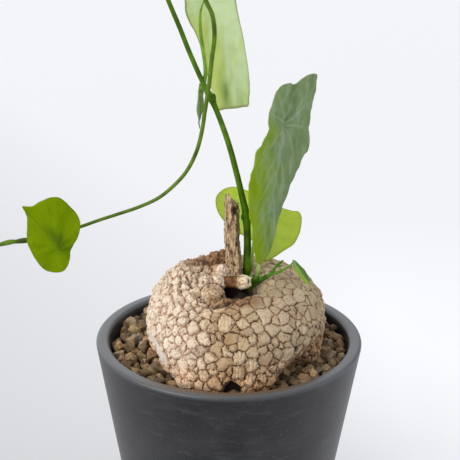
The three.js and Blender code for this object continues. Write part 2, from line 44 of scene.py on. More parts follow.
# Noise that moves points follows a seed, which is set so that each run gives the same plant.
noise.seed_set(3)
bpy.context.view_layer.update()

# The camera, from the ellipse of the pot's rim: its distance from the middle of the rim, its height
# angle above it, how far it looks down, how far it leans, and a lens for a 36 mm sensor.
VIEW = {"distance": 600, "elevation": 25.28, "pitch": 20.73, "roll": 0.55, "lens": 103.5}

# The studio: a pale floor and the colour of the painted light that it emits, a pale room and soft
# lights, each with the way that it shines, its strength, its spread in degrees and its colour.
STUDIO = {
    "floor": "#adafb3",
    "glow": "#f4f4f6",
    "room": "#f7f8fb",
    "room_light": 0.64,
    "lights": [
        ("window on the left", (0.75, 0.6, -0.45), 2.4, 50, "#fffaf3"),
        ("pale wall on the right", (-0.9, -0.05, -0.35), 0.65, 60, "#eef2ff"),
        ("light from behind", (0.3, -0.8, -0.6), 1.2, 80, "#ffffff"),
    ],
}

# The pot: its height, half its width at the rim, its wall, how much its radius shrinks for each
# millimetre down, its floor, the rounding of its edges and its sides. Then its drain holes: their
# radius, that of the circle they stand on, and their number.
POT = {"height": 105, "rim": 60, "wall": 5.8, "slope": 0.167, "floor": 7, "edge": 1.68, "sides": 160}
DRAIN = {"radius": 3.5, "circle": 20, "count": 4}

# The caudex is a rounded block about a centre: half its width and its depth, its rise and its drop
# from there, and how round it is. Voxel is the size of the faces of its skin, and kept is the share of
# them that stays at the end.
CAUDEX = {
    "centre": (3.4, -1.5, 111),
    "half": (40.2, 39.5),
    "rise": 28,
    "drop": 22,
    "roundness": 2.35,
    "voxel": 0.37,
    "kept": 0.5,
}
# Broad forms that push it out or in along the radius: the point where each is seen, its rise and its
# spread as an angle in degrees.
FORMS = {
    "left shoulder of the crown": ((-23, 2, 140), 3.6, 16),
    "crest behind the dead stem": ((-5, 8, 143), 3, 15),
    "smooth right lobe": ((26, 0, 138), 0.8, 22),
    "hollow behind the knobs": ((-12, -4, 141), -3, 8),
    "left part of the crown crevice": ((1, -14, 133), -8.5, 9.5),
    "right part of the crown crevice": ((9, -13, 134), -8, 9),
    "crease below the large knob": ((-6, -21, 130), -3, 8),
    "bare groove on the left": ((-38, -18, 103), -3, 10),
    "small cave at the front": ((2, -40, 98), -3, 6),
    "fold under the right lobe": ((36, -24, 98), -9, 19),
    "lobe behind the fold": ((40, 0, 97), -3, 16),
    "belly": ((4, -34, 114), 1.5, 26),
    "low front": ((-6, -40, 97), 5, 26),
    "hollow above the right gravel": ((30, -33, 99), -3, 13),
}
# Lumps on the crown and low at the front: middle, radius and how rough they are. Those rougher than
# CRAGGY have a craggy skin of their own in place of plates.
LUMPS = {
    "large knob": ((-7, -20.4, 133.2), 4.7, 0.16),
    "left of its upper part": ((-10, -15.8, 136.8), 3.2, 0.26),
    "right of its upper part": ((-5.6, -15.7, 137), 3.3, 0.26),
    "its lower boss": ((-4.8, -22.4, 134), 2.5, 0.2),
    "pale knob": ((-2.9, -10.4, 140.4), 3, 0.36),
    "left crest": ((-18.5, 3, 136.8), 2.8, 0.26),
    "inner left crest": ((-15, 2, 138), 2.7, 0.3),
    "middle crest": ((-6.5, 3, 141), 3.1, 0.34),
    "crest behind the dead stem": ((-2.5, 4, 141.6), 3.2, 0.3),
    "lobe behind the fold": ((31.8, -6, 102.5), 9.5, 0.05),
    "far left of the low front": ((-14.5, -36, 102), 7.6, 0.05),
    "left of the low front": ((-8, -38.6, 101.4), 7.4, 0.05),
    "middle of the low front": ((-4.4, -39.4, 101), 6.6, 0.05),
    "right of the low front": ((8.4, -38.6, 101.6), 6.8, 0.05),
    "far right of the low front": ((14, -35.8, 102.6), 7, 0.05),
}
CRAGGY = 0.1
# Furrows and folds: the points they run through on the skin, depth, half width and how dark a shade is
# painted in them.
FURROWS = {
    "fold under the right lobe": (
        [(43, -7, 117), (41, -14, 113), (37.5, -20, 110), (33, -26, 108), (28, -31, 107),
         (23, -35, 104), (18, -37, 99)], 4.2, 2.1, 0.85),
    "crown crevice": ([(5, -11.3, 132.6), (-0.5, -12, 132), (-1, -17, 132),
                       (1.5, -21.8, 134), (5.5, -21, 134.8), (9.5, -18, 135)], 2.6, 3.6, 1),
    "small cave at the front": ([(-0.5, -45, 99), (1.5, -45, 101.5), (3.5, -45, 99)], 3, 2.4, 1),
    "crease under the large knob": (
        [(-7.5, -27.4, 132), (-3, -28.8, 132.6), (0.5, -27.5, 133.6), (5, -25.5, 134.4)], 1.8, 1.3, 0.75),
    "left lip": ([(-34.6, -14, 118.6), (-32.2, -20.6, 116.6), (-30.2, -26, 113.4),
                  (-28, -29.6, 109), (-26.4, -31.6, 105.5), (-23, -34, 100)], 1.3, 0.6, 0.9),
    "hollow in the crest": ([(-13.5, 5, 140), (-11, 3.6, 140.4), (-9.5, 2.2, 140.4)], 2.4, 1.5, 0.75),
    "outer furrow": ([(-21.7, -6.5, 136.3), (-21.6, -11.8, 134.5), (-20.9, -17, 133)], 1.7, 0.8, 0.6),
    "inner furrow": (
        [(-19, -7, 137), (-17, -15, 135.5), (-14, -21, 134), (-12, -25, 132)], 1.2, 0.7, 0.6),
    "furrow beside the knob": (
        [(-14.5, -5, 139), (-14, -11, 137.5), (-12.6, -16, 135.5)], 1.3, 0.8, 0.5),
    "left wrinkle": ([(-31, -10, 129), (-28.5, -8, 132), (-25, -4, 135)], 0.8, 0.6, 0.5),
    "low wrinkle": ([(-29, -17, 126), (-26, -19, 128), (-22, -20, 131)], 0.7, 0.6, 0.5),
}
# Hollows that light hardly reaches: middle and half sizes.
HOLLOWS = [((3.6, -15.2, 132), (7.2, 7.2, 4.6)), ((1.2, -43.6, 99.6), (4, 3.4, 3.2))]
# Brown dirt with painted shade in front of the crown crevice and on the large knob: middle and half sizes.
DIRT_AND_SHADE = [((4.5, -26, 133.4), (10, 5.6, 3.8)), ((-6.5, -24.8, 133.4), (2.3, 2.3, 2))]
# The smooth pale strip beyond the left lip: its middle line, its half width, and how far it runs on
# to the back.
BARE = ([(-36.6, -17, 108.6), (-35, -20.6, 110.2), (-33.2, -24.2, 109), (-31, -27.4, 106.4)], 4, 5)
# Small holes in the large knob and at the right edge, with painted shade in them: middle and radius.
PITS = [((-8, -17.4, 140), 1.1), ((-11.6, -18, 138.4), 0.8), ((-5.6, -24.6, 136.4), 0.6),
        ((37, -14.4, 127.2), 0.9), ((37.6, -22, 119.7), 1.1), ((29.1, -32.8, 113.8), 1.5)]

# The bark's plates: how far half a broad plate reaches in each zone, the passes that lay out broad
# plates first and then smaller ones between them, as shares of that reach with their tries, and the
# seed. A broad plate pulls its edges outward by a share of its reach. Then the depth of a crack and
# its half width, the steps on a plate: how far in from its crack, and how high, and how far the ribs
# on some plates rise and lie apart.
PLATES = {
    "reach": {"buried": 6, "low": 2.3, "right lobe": 3, "left": 2.6, "upper left": 2.2, "middle": 2.75},
    "passes": [(1, 5000), (0.6, 9000), (0.38, 12000)],
    "pull": 0.6,
    "seed": 7,
    "crack": 0.75,
    "crack_width": 0.28,
    "steps": [(0.5, 0.26), (1.15, 0.22)],
    "rib": 0.12,
    "rib_apart": 1.5,
}
# Zones of the bark, each a product of even turns: the axis, where the zone ends and where it is full.
ZONES = {
    "right_lobe": [("x", 0, 10), ("z", 108, 117)],
    "flat": [("x", 4, 12), ("z", 122, 127)],
    "right_edge": [("x", 33, 37), ("z", 112, 116)],
    "left": [("x", 0, -24)],
    "upper_left": [("x", -2, -12), ("z", 118, 127)],
    "low_down": [("z", 114, 103)],
    "crest": [("z", 137, 140.5), ("x", 1, -3), ("y", -9, -4)],
}
# Chips that broken plates and the bark between plates are split into: their size, the depth and half
# width of the cracks between them, and how far their heights differ.
CHIPS = {"size": 1.7, "depth": 0.2, "width": 0.2, "step": 0.35}

# The gravel's level at the pot's middle, its climb to the back, the width of a grain, and its layers:
# how deep each lies, how far apart its grains are as a share of their width, and 1 where their
# heights vary.
GRAVEL = {
    "level": 100.9,
    "climb": 0.06,
    "grain": 4.7,
    "layers": [(1.1, 0.85, 1), (3.2, 0.95, 0)],
    "seed": 11,
    "forms": 16,
    "tries": 9000,
}

# Stems: points on the centre line, radii spread evenly from root to tip, and the nodes where a stem
# swells, each as a fraction of its length and a rise. The dead stem's break runs down by the length of
# its splinter, and its hollow and the stub's slit have a middle and a size.
VINE = {
    "route": [(7.3, -7, 132.5), (7.6, -7, 145.5), (7.6, -7, 154), (6.8, -7.4, 166), (5, -8, 174.5),
              (2.6, -8, 184.7), (-1.1, -7, 198), (-6.7, -4.5, 212.6), (-11.9, -3, 222.8),
              (-17.5, -1, 235), (-21.6, 0, 245.2), (-26.4, 0, 256.9), (-30.2, 0, 267),
              (-33.4, -1, 277), (-35.5, -2, 288), (-35, -4, 300), (-32, -5, 311), (-28.5, -5, 318)],
    "radii": [1.85, 1.6, 1.3, 1.2, 1.05, 1, 0.9, 0.8, 0.5],
    "nodes": [(0.165, 0.45), (0.448, 0.5), (0.78, 0.45)],
}
SIDE_SHOOT = {
    "route": [(-33.4, -1, 277), (-29.5, -4, 283.5), (-23.5, -6.5, 284.5), (-18, -8, 279),
              (-14, -9, 269), (-10.8, -9, 258.8), (-8.1, -8.5, 252.6), (-7.1, -8, 244.3),
              (-8.1, -8, 234.6), (-9.4, -8.5, 222.5), (-11, -8.5, 211.7), (-12.1, -8.5, 203.9),
              (-14.4, -8.5, 194.6), (-18.8, -8, 185.3), (-24.5, -7, 178.3), (-30.9, -6, 172.6),
              (-39.2, -5, 168.1), (-48.9, -4, 164.2), (-56.6, -4, 161.5), (-65, -4, 158.3),
              (-76.2, -5, 155.1), (-89.3, -6, 151.9), (-94.8, -6, 151.7), (-100.2, -6, 150.3),
              (-106, -6, 147.5), (-110, -6, 144)],
    "radii": [1, 0.95, 0.95, 0.9, 0.85, 0.8, 0.75, 0.75, 0.9],
    "nodes": [(0.93, 0.35)],
}
DEAD_STEM = {
    "route": [(1.6, -8.6, 129), (1.9, -9, 144.4), (1.1, -9, 154.7), (0.9, -9, 166.2), (0.8, -9, 175.6)],
    "radii": [4.4, 4, 3.5, 3.2, 3.15, 3.1, 2.9],
    "splinter": 5.5,
    "hollow": ((2.2, -11.7, 168.6), 1.5),
}
CUT_STUB = {
    "route": [(-2.6, -14, 137), (0, -15.2, 137.6), (3.6, -16.2, 138), (9.2, -16.9, 138.2)],
    "radii": [2.2, 2.5, 2.4, 2.5, 3, 3.2, 3, 1.9],
    "slit": ((8.2, -19.6, 140), (0.6, 2, 2.1)),
}
SPROUT = {
    "stem": {
        "route": [(9, -10.4, 132), (9.8, -11, 134.4), (12.7, -11, 136.5), (15.9, -11, 138.4),
                  (18.6, -11, 140.3)],
        "radii": [1.2, 1.2, 0.95, 0.75],
    },
    "upper twig": {
        "route": [(18.2, -11, 139.9), (20.1, -11, 143.3), (21.6, -11, 144.7), (23.2, -11, 146.4)],
        "radii": [0.7, 0.5, 0.6, 0.25],
    },
    "side spur": {"route": [(20.3, -11, 143.4), (21.6, -11.6, 143.6), (22.9, -12, 144.3)],
                  "radii": [0.45, 0.35, 0.2]},
    "inner shoot": {"route": [(9, -11.5, 134.5), (11.2, -12.2, 138), (13, -12.4, 140.6)],
                    "radii": [0.6, 0.5, 0.25]},
    "second shoot": {"route": [(10.5, -11.5, 135.3), (13.4, -12, 137.6), (15.6, -12.2, 140.2)],
                     "radii": [0.55, 0.45, 0.25]},
    "bud spur": {"route": [(10.2, -11.2, 134.6), (9.2, -12, 137.6), (9.4, -12.2, 139.6)],
                 "radii": [0.9, 0.7, 0.3]},
}
# Small buds at the sprout's foot, and the scars at two nodes of the vine: middle and radius.
BUDS = [((11.2, -12, 137.6), 1), ((9.2, -12, 138.6), 0.9), ((12.6, -11.6, 138.6), 0.7)]
SCARS = [((8.5, -8.2, 164.6), 1), ((5.3, -8.6, 165.2), 0.9), ((-7.3, -5.2, 217), 1.2),
         ((-6.9, -4.8, 214.6), 1)]

# Leaves. The blade's plane runs across and along it, from tip to attachment, and each outline goes
# once round it as (across, along) from the attachment. Fold lifts both sides by a share of their
# distance from the middle line, wave is the height of the waves along the rim, of which there are 5
# unless waves says otherwise, and dimple is how deep the attachment lies. A crease is a line, its depth
# and its width, and a shade the middle and half sizes of a fold's painted shade. Veins and rim say how
# much of their own colour these show. The petiole runs from its root to the blade's underside, which
# looks against the plane's normal unless under is -1. The last line of each leaf is its skin, its
# stalk's colour and its slot.
LEAVES = {
    "big_leaf": {
        "attach": (24.6, 8, 201.2),
        "tip": (13.7, -12, 144.3),
        "across": (0.5, 0.866, 0),
        "outline": [(18.5, 25.5), (11, 24.5), (5, 21.5), (0.5, 18), (-5, 18), (-13, 15.5),
                    (-18, 10.5), (-19.3, 6), (-19, 0.5), (-18, -5), (-22.5, -11), (-25, -14),
                    (-24.5, -20), (-25, -26.5), (-24, -34), (-21, -40), (-16, -46), (-11, -52.5),
                    (-5.5, -59), (-1.5, -61), (2.5, -58), (7, -50), (8, -43), (9.5, -35.5),
                    (11.5, -28.5), (14, -20.5), (18, -14.5), (20.5, -11), (23.5, -7.5), (22, -3),
                    (19.7, 3), (19.5, 11), (20, 19)],
        "fold": 0.02,
        "wave": 0.4,
        "waves": 7,
        "dimple": 0.9,
        "veins": 0.5,
        "crease": ([(0, 0), (-0.6, 8), (0.4, 18)], 1.7, 2.2),
        "petiole": {
            "route": [(10.9, -8, 132), (12.6, -7, 140), (13.2, -3, 150), (13.6, 1, 170), (17, 8, 189)],
            "radii": [1.1, 0.9, 0.8],
        },
        "dress": ("green", "pale", "leaf_green"),
    },
    "back_leaf": {
        "attach": (14.4, 20, 155.9),
        "tip": (16.2, 4, 141),
        "across": (0.97, 0.18, 0),
        "outline": [(0, -23), (-3.5, -17), (-6.3, -12.2), (-11.5, -8), (-17, -2.5), (-20, 3),
                    (-20.5, 8), (-19, 12), (-16, 14.5), (-12.5, 15), (-6.5, 12.5), (1, 9),
                    (7, 5.3), (10.5, 3.5), (14.5, 2.2), (17.6, 2), (18.7, 0), (18, -5),
                    (16, -10.5), (13, -15), (8.5, -17.8), (4.5, -20.5)],
        "fold": -0.12,
        "wave": 0.8,
        "dimple": 1,
        "veins": 0.25,
        "rim": 0.7,
        "petiole": {
            "route": [(9.8, -3, 133.5), (10, -2, 141), (10.2, 3, 147), (11.5, 11, 149.5),
                      (13.4, 17, 151.4)],
            "radii": [0.9, 0.7, 0.6],
        },
        "dress": ("pale", "pale", "leaf_pale"),
    },
    "top_leaf": {
        "attach": (-11.4, 12, 254.3),
        "tip": (-5.4, 18.5, 203.7),
        "across": (0.97, 0.25, 0),
        "outline": [(-0.5, -49.5), (3.5, -50), (7.5, -50.5), (11, -50.7), (13.4, -50.6),
                    (14, -47.5), (14.6, -43.5), (15, -37.5), (15, -29), (14.5, -18.5),
                    (13.5, -9.5), (13, -2), (13, 7), (9, 15.8), (2, 19), (-5.5, 16.8), (-9.8, 9),
                    (-8.8, 2), (-9, -3), (-8, -7.5), (-6, -13), (-4.7, -18.5), (-4.2, -24.5),
                    (-3, -32.5), (-1.5, -42.5)],
        "fold": 0.08,
        "wave": 0.4,
        "dimple": 0.8,
        "veins": 0.15,
        "rim": 0.9,
        "shade": ((4, -43), (1.8, 7)),
        "petiole": {
            "route": [(-11.5, -3, 222), (-10.9, -1, 227), (-12, 2, 235.7), (-13.2, 5, 243.9),
                      (-13.2, 8, 250.3)],
            "radii": [0.95, 0.8, 0.7],
        },
        "dress": ("streaked", "bright", "leaf_pale"),
    },
    "narrow_leaf": {
        "attach": (-13, 2.1, 217.8),
        "tip": (-13.1, 4.5, 201),
        "across": (0.3, 0.95, 0),
        "outline": [(-0.8, -17), (-3.1, -11.5), (-4.3, -5.5), (-3, -0.5), (0.4, 3.4), (1.6, 2.6),
                    (3, -1.5), (3.4, -5), (2.2, -9.5), (0.5, -13.5)],
        "fold": 0.15,
        "wave": 0.3,
        "waves": 4,
        "dimple": 0.4,
        "petiole": {
            "route": [(-11.6, -3.2, 222.3), (-12.2, -1.4, 220.4), (-13.2, 0.6, 218.6)],
            "radii": [0.7, 0.6, 0.6],
        },
        "dress": ("small", "green", "leaf_pale"),
    },
    "left_leaf": {
        "attach": (-73.3, -12, 153.7),
        "tip": (-87.7, -14, 169.8),
        "across": (0.75, -0.25, 0.6),
        "outline": [(0.5, -23), (3, -20.5), (9, -20), (14.5, -19), (17.5, -17), (18, -13.5),
                    (17.3, -9.5), (17, -6), (15.5, -2.5), (13, 0), (9, 2.5), (3.5, 4.5),
                    (0, 6.3), (-2.3, 8.5), (-5, 10.3), (-9, 11), (-12.5, 9.7), (-15, 7.3),
                    (-15.5, 4.5), (-14.5, 0.5), (-13, -4.5), (-11.5, -8.5), (-9, -11.5),
                    (-5, -15), (-1.3, -18.5), (0, -21)],
        "fold": -0.06,
        "wave": 0.7,
        "dimple": 1.2,
        "crease": ([(5.4, -8), (0, 0), (-1, 2.4), (5.4, 3.9)], 0.9, 2),
        "shade": ((1.4, -2.5), (3, 6)),
        "petiole": {
            "route": [(-93.6, -6, 151.7), (-90, -7.2, 153.2), (-83, -8.4, 154.2), (-77, -9.2, 154)],
            "radii": [0.85, 0.7, 0.6],
        },
        "dress": ("backlit", "olive", "leaf_green"),
    },
    "sprout_leaf": {
        "attach": (27.6, -10.4, 145.4),
        "tip": (34.7, -11, 134.7),
        "across": (0.86, -0.3, 0.4),
        "outline": [(0, -13), (-1, -11), (-1.6, -7.5), (-1.6, -4), (-1, -1), (0, 0.6),
                    (0.7, 0.3), (1.6, -2), (2.4, -5.5), (2.1, -8.5), (1.4, -11)],
        "fold": 0.3,
        "wave": 0,
        "waves": 1,
        "dimple": 0,
        "veins": 0.45,
        "petiole": {
            "route": [(18.6, -11, 139.9), (21.2, -11, 140.7), (24.1, -11, 142.2), (26.6, -10.6, 144)],
            "radii": [0.7, 0.6, 0.5],
        },
        "dress": ("young", "green", "leaf_green"),
    },
    "upper_leaf": {
        "attach": (-52, -10, 285),
        "tip": (-66, -16, 268),
        "across": (0.6, -0.75, -0.2),
        "outline": [(0, -22.8), (4, -18), (11, -9), (14.5, -1), (12.5, 6.5), (6, 9.8), (0, 8.6),
                    (-6, 9.8), (-12.5, 6.5), (-14.5, -1), (-11, -9), (-4, -18)],
        "under": -1,
        "fold": -0.1,
        "wave": 0.6,
        "dimple": 1,
        "veins": 0.4,
        "petiole": {
            "route": [(-33.5, -1, 277.5), (-38, -3.5, 283), (-45, -7, 286), (-50, -9, 284.4)],
            "radii": [0.8, 0.7, 0.6],
        },
        "dress": ("green", "green", "leaf_green"),
    },
    "tip_leaf": {
        "attach": (-22.4, -8, 311),
        "tip": (-15.5, -11.5, 300),
        "across": (0.8, -0.4, 0.45),
        "outline": [(0, -13), (2.5, -10), (6, -4.5), (6.8, 0.5), (4, 4.6), (0, 4), (-4, 4.6),
                    (-6.8, 0.5), (-6, -4.5), (-2.5, -10)],
        "under": -1,
        "fold": -0.12,
        "wave": 0.3,
        "waves": 4,
        "dimple": 0.4,
        "veins": 0.3,
        "petiole": {
            "route": [(-32, -5, 311), (-28.5, -6, 311.5), (-25, -7, 312.6), (-23, -7.6, 311.6)],
            "radii": [0.6, 0.5, 0.5],
        },
        "dress": ("green", "green", "leaf_green"),
    },
}
# A blade's thickness, the radius of its dimple, how far below its middle plane the petiole ends, the
# petiole's radius there, and the spokes and rings of the net that it is shaped from.
BLADE = {"thickness": 0.45, "dimple_radius": 3.5, "petiole_end": 0.15,
         "petiole_tip": 0.25, "spokes": 300, "rings": 34}
# Main veins, as bearings from the tip, and the side veins of the middle one: the first, how far apart
# and their angle. Then half a main vein's width, and the depth and half width of its groove.
VEINS = {
    "main": [0, 50, -50, 104, -104, 136, -136, 180],
    "first": 13,
    "apart": 8.5,
    "angle": 50,
    "half": 0.5,
    "groove": (0.9, 2.2),
}
# Half the length over which a stem swells at a node.
NODE_LENGTH = 3


# Numbers

def smooth(low, high, value):
    """0 below low, 1 above high, and an even turn between them."""
    share = np.clip((value - low) / (high - low), 0, 1)
    return share * share * (3 - 2 * share)


def seeded(seed, count):
    """A repeatable row of numbers from 0 to 1."""
    whole = 0xFFFFFFFF
    state = seed
    row = np.empty(count)
    for i in range(count):
        state = (state + 0x6D2B79F5) & whole
        mixed = ((state ^ (state >> 15)) * (1 | state)) & whole
        mixed = ((mixed + (((mixed ^ (mixed >> 7)) * (61 | mixed)) & whole)) & whole) ^ mixed
        row[i] = (mixed ^ (mixed >> 14)) / (whole + 1)
    return row


def rough(points, size, seed=0, octaves=3):
    """Noise of about -1 to 1 at each point, with lumps of a size in millimetres."""
    shift = Vector((17.3 * seed, 5.1 * seed, 9.7 * seed))
    return np.array([
        noise.fractal(Vector(point) / size + shift, 0.6, 2.1, octaves) for point in points
    ])


def shaken(points, size, amount, seed=0):
    """The points moved by soft noise in all three directions."""
    shift = Vector((3.7 * seed, 11.9 * seed, 7.3 * seed))
    moves = np.array([noise.noise_vector(Vector(point) / size + shift) for point in points])
    return points + amount * moves


def along_curve(points, count, closed=False):
    """Points along a smooth curve through the given ones, at even steps of each span."""
    knots = np.array(points, float)
    if closed:
        knots = np.vstack([knots[-1], knots, knots[0], knots[1]])
    else:
        knots = np.vstack([2 * knots[0] - knots[1], knots, 2 * knots[-1] - knots[-2]])
    spans = len(knots) - 3
    steps = np.linspace(0, spans, count, endpoint=not closed)
    made = []
    for step in steps:
        k = min(int(step), spans - 1)
        a, b, c, d = knots[k:k + 4]
        t0 = 0
        t1 = t0 + np.linalg.norm(b - a) ** 0.5
        t2 = t1 + np.linalg.norm(c - b) ** 0.5
        t3 = t2 + np.linalg.norm(d - c) ** 0.5
        t = t1 + (t2 - t1) * (step - k)
        ab = ((t1 - t) * a + (t - t0) * b) / (t1 - t0)
        bc = ((t2 - t) * b + (t - t1) * c) / (t2 - t1)
        cd = ((t3 - t) * c + (t - t2) * d) / (t3 - t2)
        abc = ((t2 - t) * ab + (t - t0) * bc) / (t2 - t0)
        bcd = ((t3 - t) * bc + (t - t1) * cd) / (t3 - t1)
        made.append(((t2 - t) * abc + (t - t1) * bcd) / (t2 - t1))
    return np.array(made)


def distance_to(points, line):
    """Least distance from each point to a line of straight spans, and where along it."""
    best = np.full(len(points), 1e9)
    where = np.zeros(len(points))
    spans = len(line) - 1
    for k, (a, b) in enumerate(zip(line[:-1], line[1:])):
        run = b - a
        share = np.clip(((points - a) @ run) / (run @ run), 0, 1)
        away = np.linalg.norm(points - a - share[:, None] * run, axis=1)
        nearer = away < best
        best[nearer] = away[nearer]
        where[nearer] = (k + share[nearer]) / spans
    return best, where


def within(points, middle, half, none, full):
    """1 inside an oval with those half sizes and 0 outside, between two shares of its size."""
    away = np.linalg.norm((points - np.array(middle)) / np.array(half), axis=1)
    return smooth(none, full, away)


# Meshes

def only(*pieces):
    """Selects these pieces, or nothing at all, and makes the first of them the active one."""
    bpy.ops.object.select_all(action="DESELECT")
    for piece in pieces:
        piece.select_set(True)
    if pieces:
        bpy.context.view_layer.objects.active = pieces[0]


def corners(piece):
    """The piece's vertices in millimetres."""
    flat = np.empty(3 * len(piece.data.vertices))
    piece.data.vertices.foreach_get("co", flat)
    return flat.reshape(-1, 3) / MM


def move_corners(piece, points):
    piece.data.vertices.foreach_set("co", (points * MM).ravel())
    piece.data.update()


def normals(piece):
    flat = np.empty(3 * len(piece.data.vertices))
    piece.data.vertex_normals.foreach_get("vector", flat)
    return flat.reshape(-1, 3)


def store(piece, name, values):
    """Keeps one number for each vertex, for the material to read."""
    attribute = piece.data.attributes.new(name, "FLOAT", "POINT")
    attribute.data.foreach_set("value", np.asarray(values, np.float32))


def edit(piece):
    """Opens one piece in edit mode with all of it selected."""
    only(piece)
    bpy.ops.object.mode_set(mode="EDIT")
    bpy.ops.mesh.select_all(action="SELECT")


def face_outwards(piece):
    """Turns a closed piece's faces outwards, in edit mode, and leaves that mode."""
    bpy.ops.mesh.normals_make_consistent(inside=False)
    bpy.ops.object.mode_set(mode="OBJECT")
    return piece


def settle(piece):
    """Puts a piece's place and turn into its mesh."""
    only(piece)
    bpy.ops.object.transform_apply(location=True, rotation=True, scale=True)
    return piece


def join(name, pieces):
    """Makes the pieces one object, which keeps the first one's place."""
    only(*pieces)
    if len(pieces) > 1:
        bpy.ops.object.join()
    pieces[0].name = name
    return pieces[0]


def modify(piece, kind, **settings):
    """Adds a modifier with its settings and applies it."""
    only(piece)
    modifier = piece.modifiers.new(kind.lower(), kind)
    for key, value in settings.items():
        setattr(modifier, key, value)
    bpy.ops.object.modifier_apply(modifier=modifier.name)
    return piece


def shade(piece, angle=40):
    only(piece)
    bpy.ops.object.shade_smooth_by_angle(angle=math.radians(angle))
    return piece


def belongs(piece, skin, slot, *nodes):
    """Gives a finished piece its material, fixes it to the plant and hides the model's parts for its nodes.
    Its slot is not used.
    """
    if skin:
        piece.data.materials.append(skin)
    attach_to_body(piece, "root")
    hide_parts(*nodes)
    return piece


# Materials

def linear(colour):
    """A hex colour as it is seen, such as #8a7355, as linear red, green, blue and alpha."""
    parts = [int(colour[i:i + 2], 16) / 255 for i in (1, 3, 5)]
    return [p / 12.92 if p <= 0.04045 else ((p + 0.055) / 1.055) ** 2.4 for p in parts] + [1]


def put(tree, kind, inputs, out=0, ramp=None, **settings):
    """Adds a node and gives one of its outputs. Settings are its properties, and inputs its values,
    its hex colours or the sockets that feed them."""
    made = tree.nodes.new("ShaderNode" + kind)
    for key, value in settings.items():
        setattr(made, key, value)
    for key, value in inputs.items():
        if isinstance(value, bpy.types.NodeSocket):
            tree.links.new(value, made.inputs[key])
        else:
            made.inputs[key].default_value = linear(value) if isinstance(value, str) else value
    if ramp:
        stops = made.color_ramp.elements
        while len(stops) < len(ramp):
            stops.new(1)
        for stop, (place, colour) in zip(stops, ramp):
            stop.position = place
            stop.color = linear(colour)
    return made.outputs[out]


def material(name, values):
    """A new material with its tree and the plant's own coordinates in metres. Values go to the shader's
    own sockets, and its IOR is that of plants and paper where none is given."""
    made = bpy.data.materials.new(name)
    made.use_nodes = True
    shader = made.node_tree.nodes["Principled BSDF"]
    for socket, value in {"IOR": 1.45, **values}.items():
        shader.inputs[socket].default_value = value
    return made, made.node_tree, put(made.node_tree, "TexCoord", {}, "Object")


def finished(made, colour, relief, strength, depth):
    """Gives a material its colour and a relief of a depth in millimetres."""
    tree = made.node_tree
    shader = tree.nodes["Principled BSDF"]
    bump = put(tree, "Bump", {"Height": relief, "Strength": strength, "Distance": depth * MM})
    tree.links.new(colour, shader.inputs["Base Color"])
    tree.links.new(bump, shader.inputs["Normal"])
    return made


# The ends of a ramp that says how much of a layer is seen, from none of it to all of it.
BLACK, WHITE = "#000000", "#ffffff"


def cork_bark():
    """Dry cork: tan plates, paler on the left and greyer on the right, brown in the cracks."""
    made, tree, place = material("dry cork bark", {"Roughness": 0.92})
    names = ("line", "near_line", "tone", "hollow", "right_lobe", "left_side", "low_down", "bare", "crest")
    mask = {name: put(tree, "Attribute", {}, "Fac", attribute_name=name) for name in names}
    # Pores of 1 mm and stains of 6 mm
    pores = put(tree, "TexNoise", {"Vector": place, "Scale": 1 / (1 * MM), "Detail": 4})
    stain = put(tree, "TexNoise", {"Vector": place, "Scale": 1 / (6 * MM), "Detail": 4})
    mixed = put(tree, "Math", {0: mask["tone"], 1: stain}, operation="ADD")
    mixed = put(tree, "Math", {0: mixed, 1: 0.5}, operation="MULTIPLY")
    colour = put(tree, "ValToRGB", {"Fac": mixed}, ramp=[
        (0.22, "#947657"), (0.42, "#b09470"), (0.6, "#c4aa87"), (0.8, "#d8c3a3")])
    stained = put(tree, "Math", {0: stain, 1: 0.9}, operation="MULTIPLY")
    pored = put(tree, "Math", {0: pores, 1: 1.4}, operation="MULTIPLY")
    # The crest's mark is the crest's own orange-brown, and brown dirt with painted shade below the crown
    # crevice
    for name, strength, tint in (("right_lobe", 0.6, "#b5a78c"), ("left_side", 0.7, "#f3e8d8"),
                                 ("low_down", stained, "#e6bb8e"), ("crest", pored, "#83582f")):
        share = put(tree, "Math", {0: mask[name], 1: strength}, operation="MULTIPLY")
        colour = put(tree, "Mix", {0: share, 6: colour, 7: tint}, 2, data_type="RGBA")
    # Flakes of 1.1 mm with darker gaps between them, then pores, and painted shade along the sides of each
    # crack
    flakes = put(tree, "TexVoronoi", {"Vector": place, "Scale": 1 / (1.1 * MM)},
                 feature="DISTANCE_TO_EDGE")
    flaky = put(tree, "ValToRGB", {"Fac": stain}, ramp=[(0.42, BLACK), (0.6, "#a0a0a0")])
    for share, value, low, full in ((flaky, flakes, (0, "#9a7450"), 0.08),
                                    (0.45, pores, (0.32, "#94714c"), 0.5),
                                    (0.6, mask["near_line"], (0, "#c4976a"), 0.5)):
        darker = put(tree, "ValToRGB", {"Fac": value}, ramp=[low, (full, WHITE)])
        colour = put(tree, "Mix", {0: share, 6: colour, 7: darker}, 2, data_type="RGBA",
                     blend_type="MULTIPLY")
    brown = put(tree, "Mix", {0: mask["left_side"], 6: "#573a23", 7: "#89654a"}, 2, data_type="RGBA")
    worn = put(tree, "Math", {0: pores, 1: 0.8, 2: -0.4}, operation="MULTIPLY_ADD")
    seam = put(tree, "Math", {0: mask["line"], 1: worn}, operation="ADD")
    crack = put(tree, "ValToRGB", {"Fac": seam}, ramp=[(0.3, BLACK), (0.8, WHITE)])
    # The hollow mark is near black: painted shade in the hollows, furrows, pits and crevices
    for share, tint in ((crack, brown), (mask["bare"], "#dad5cc"), (mask["hollow"], "#170d07")):
        colour = put(tree, "Mix", {0: share, 6: colour, 7: tint}, 2, data_type="RGBA")
    return finished(made, colour, pores, 0.8, 0.5)


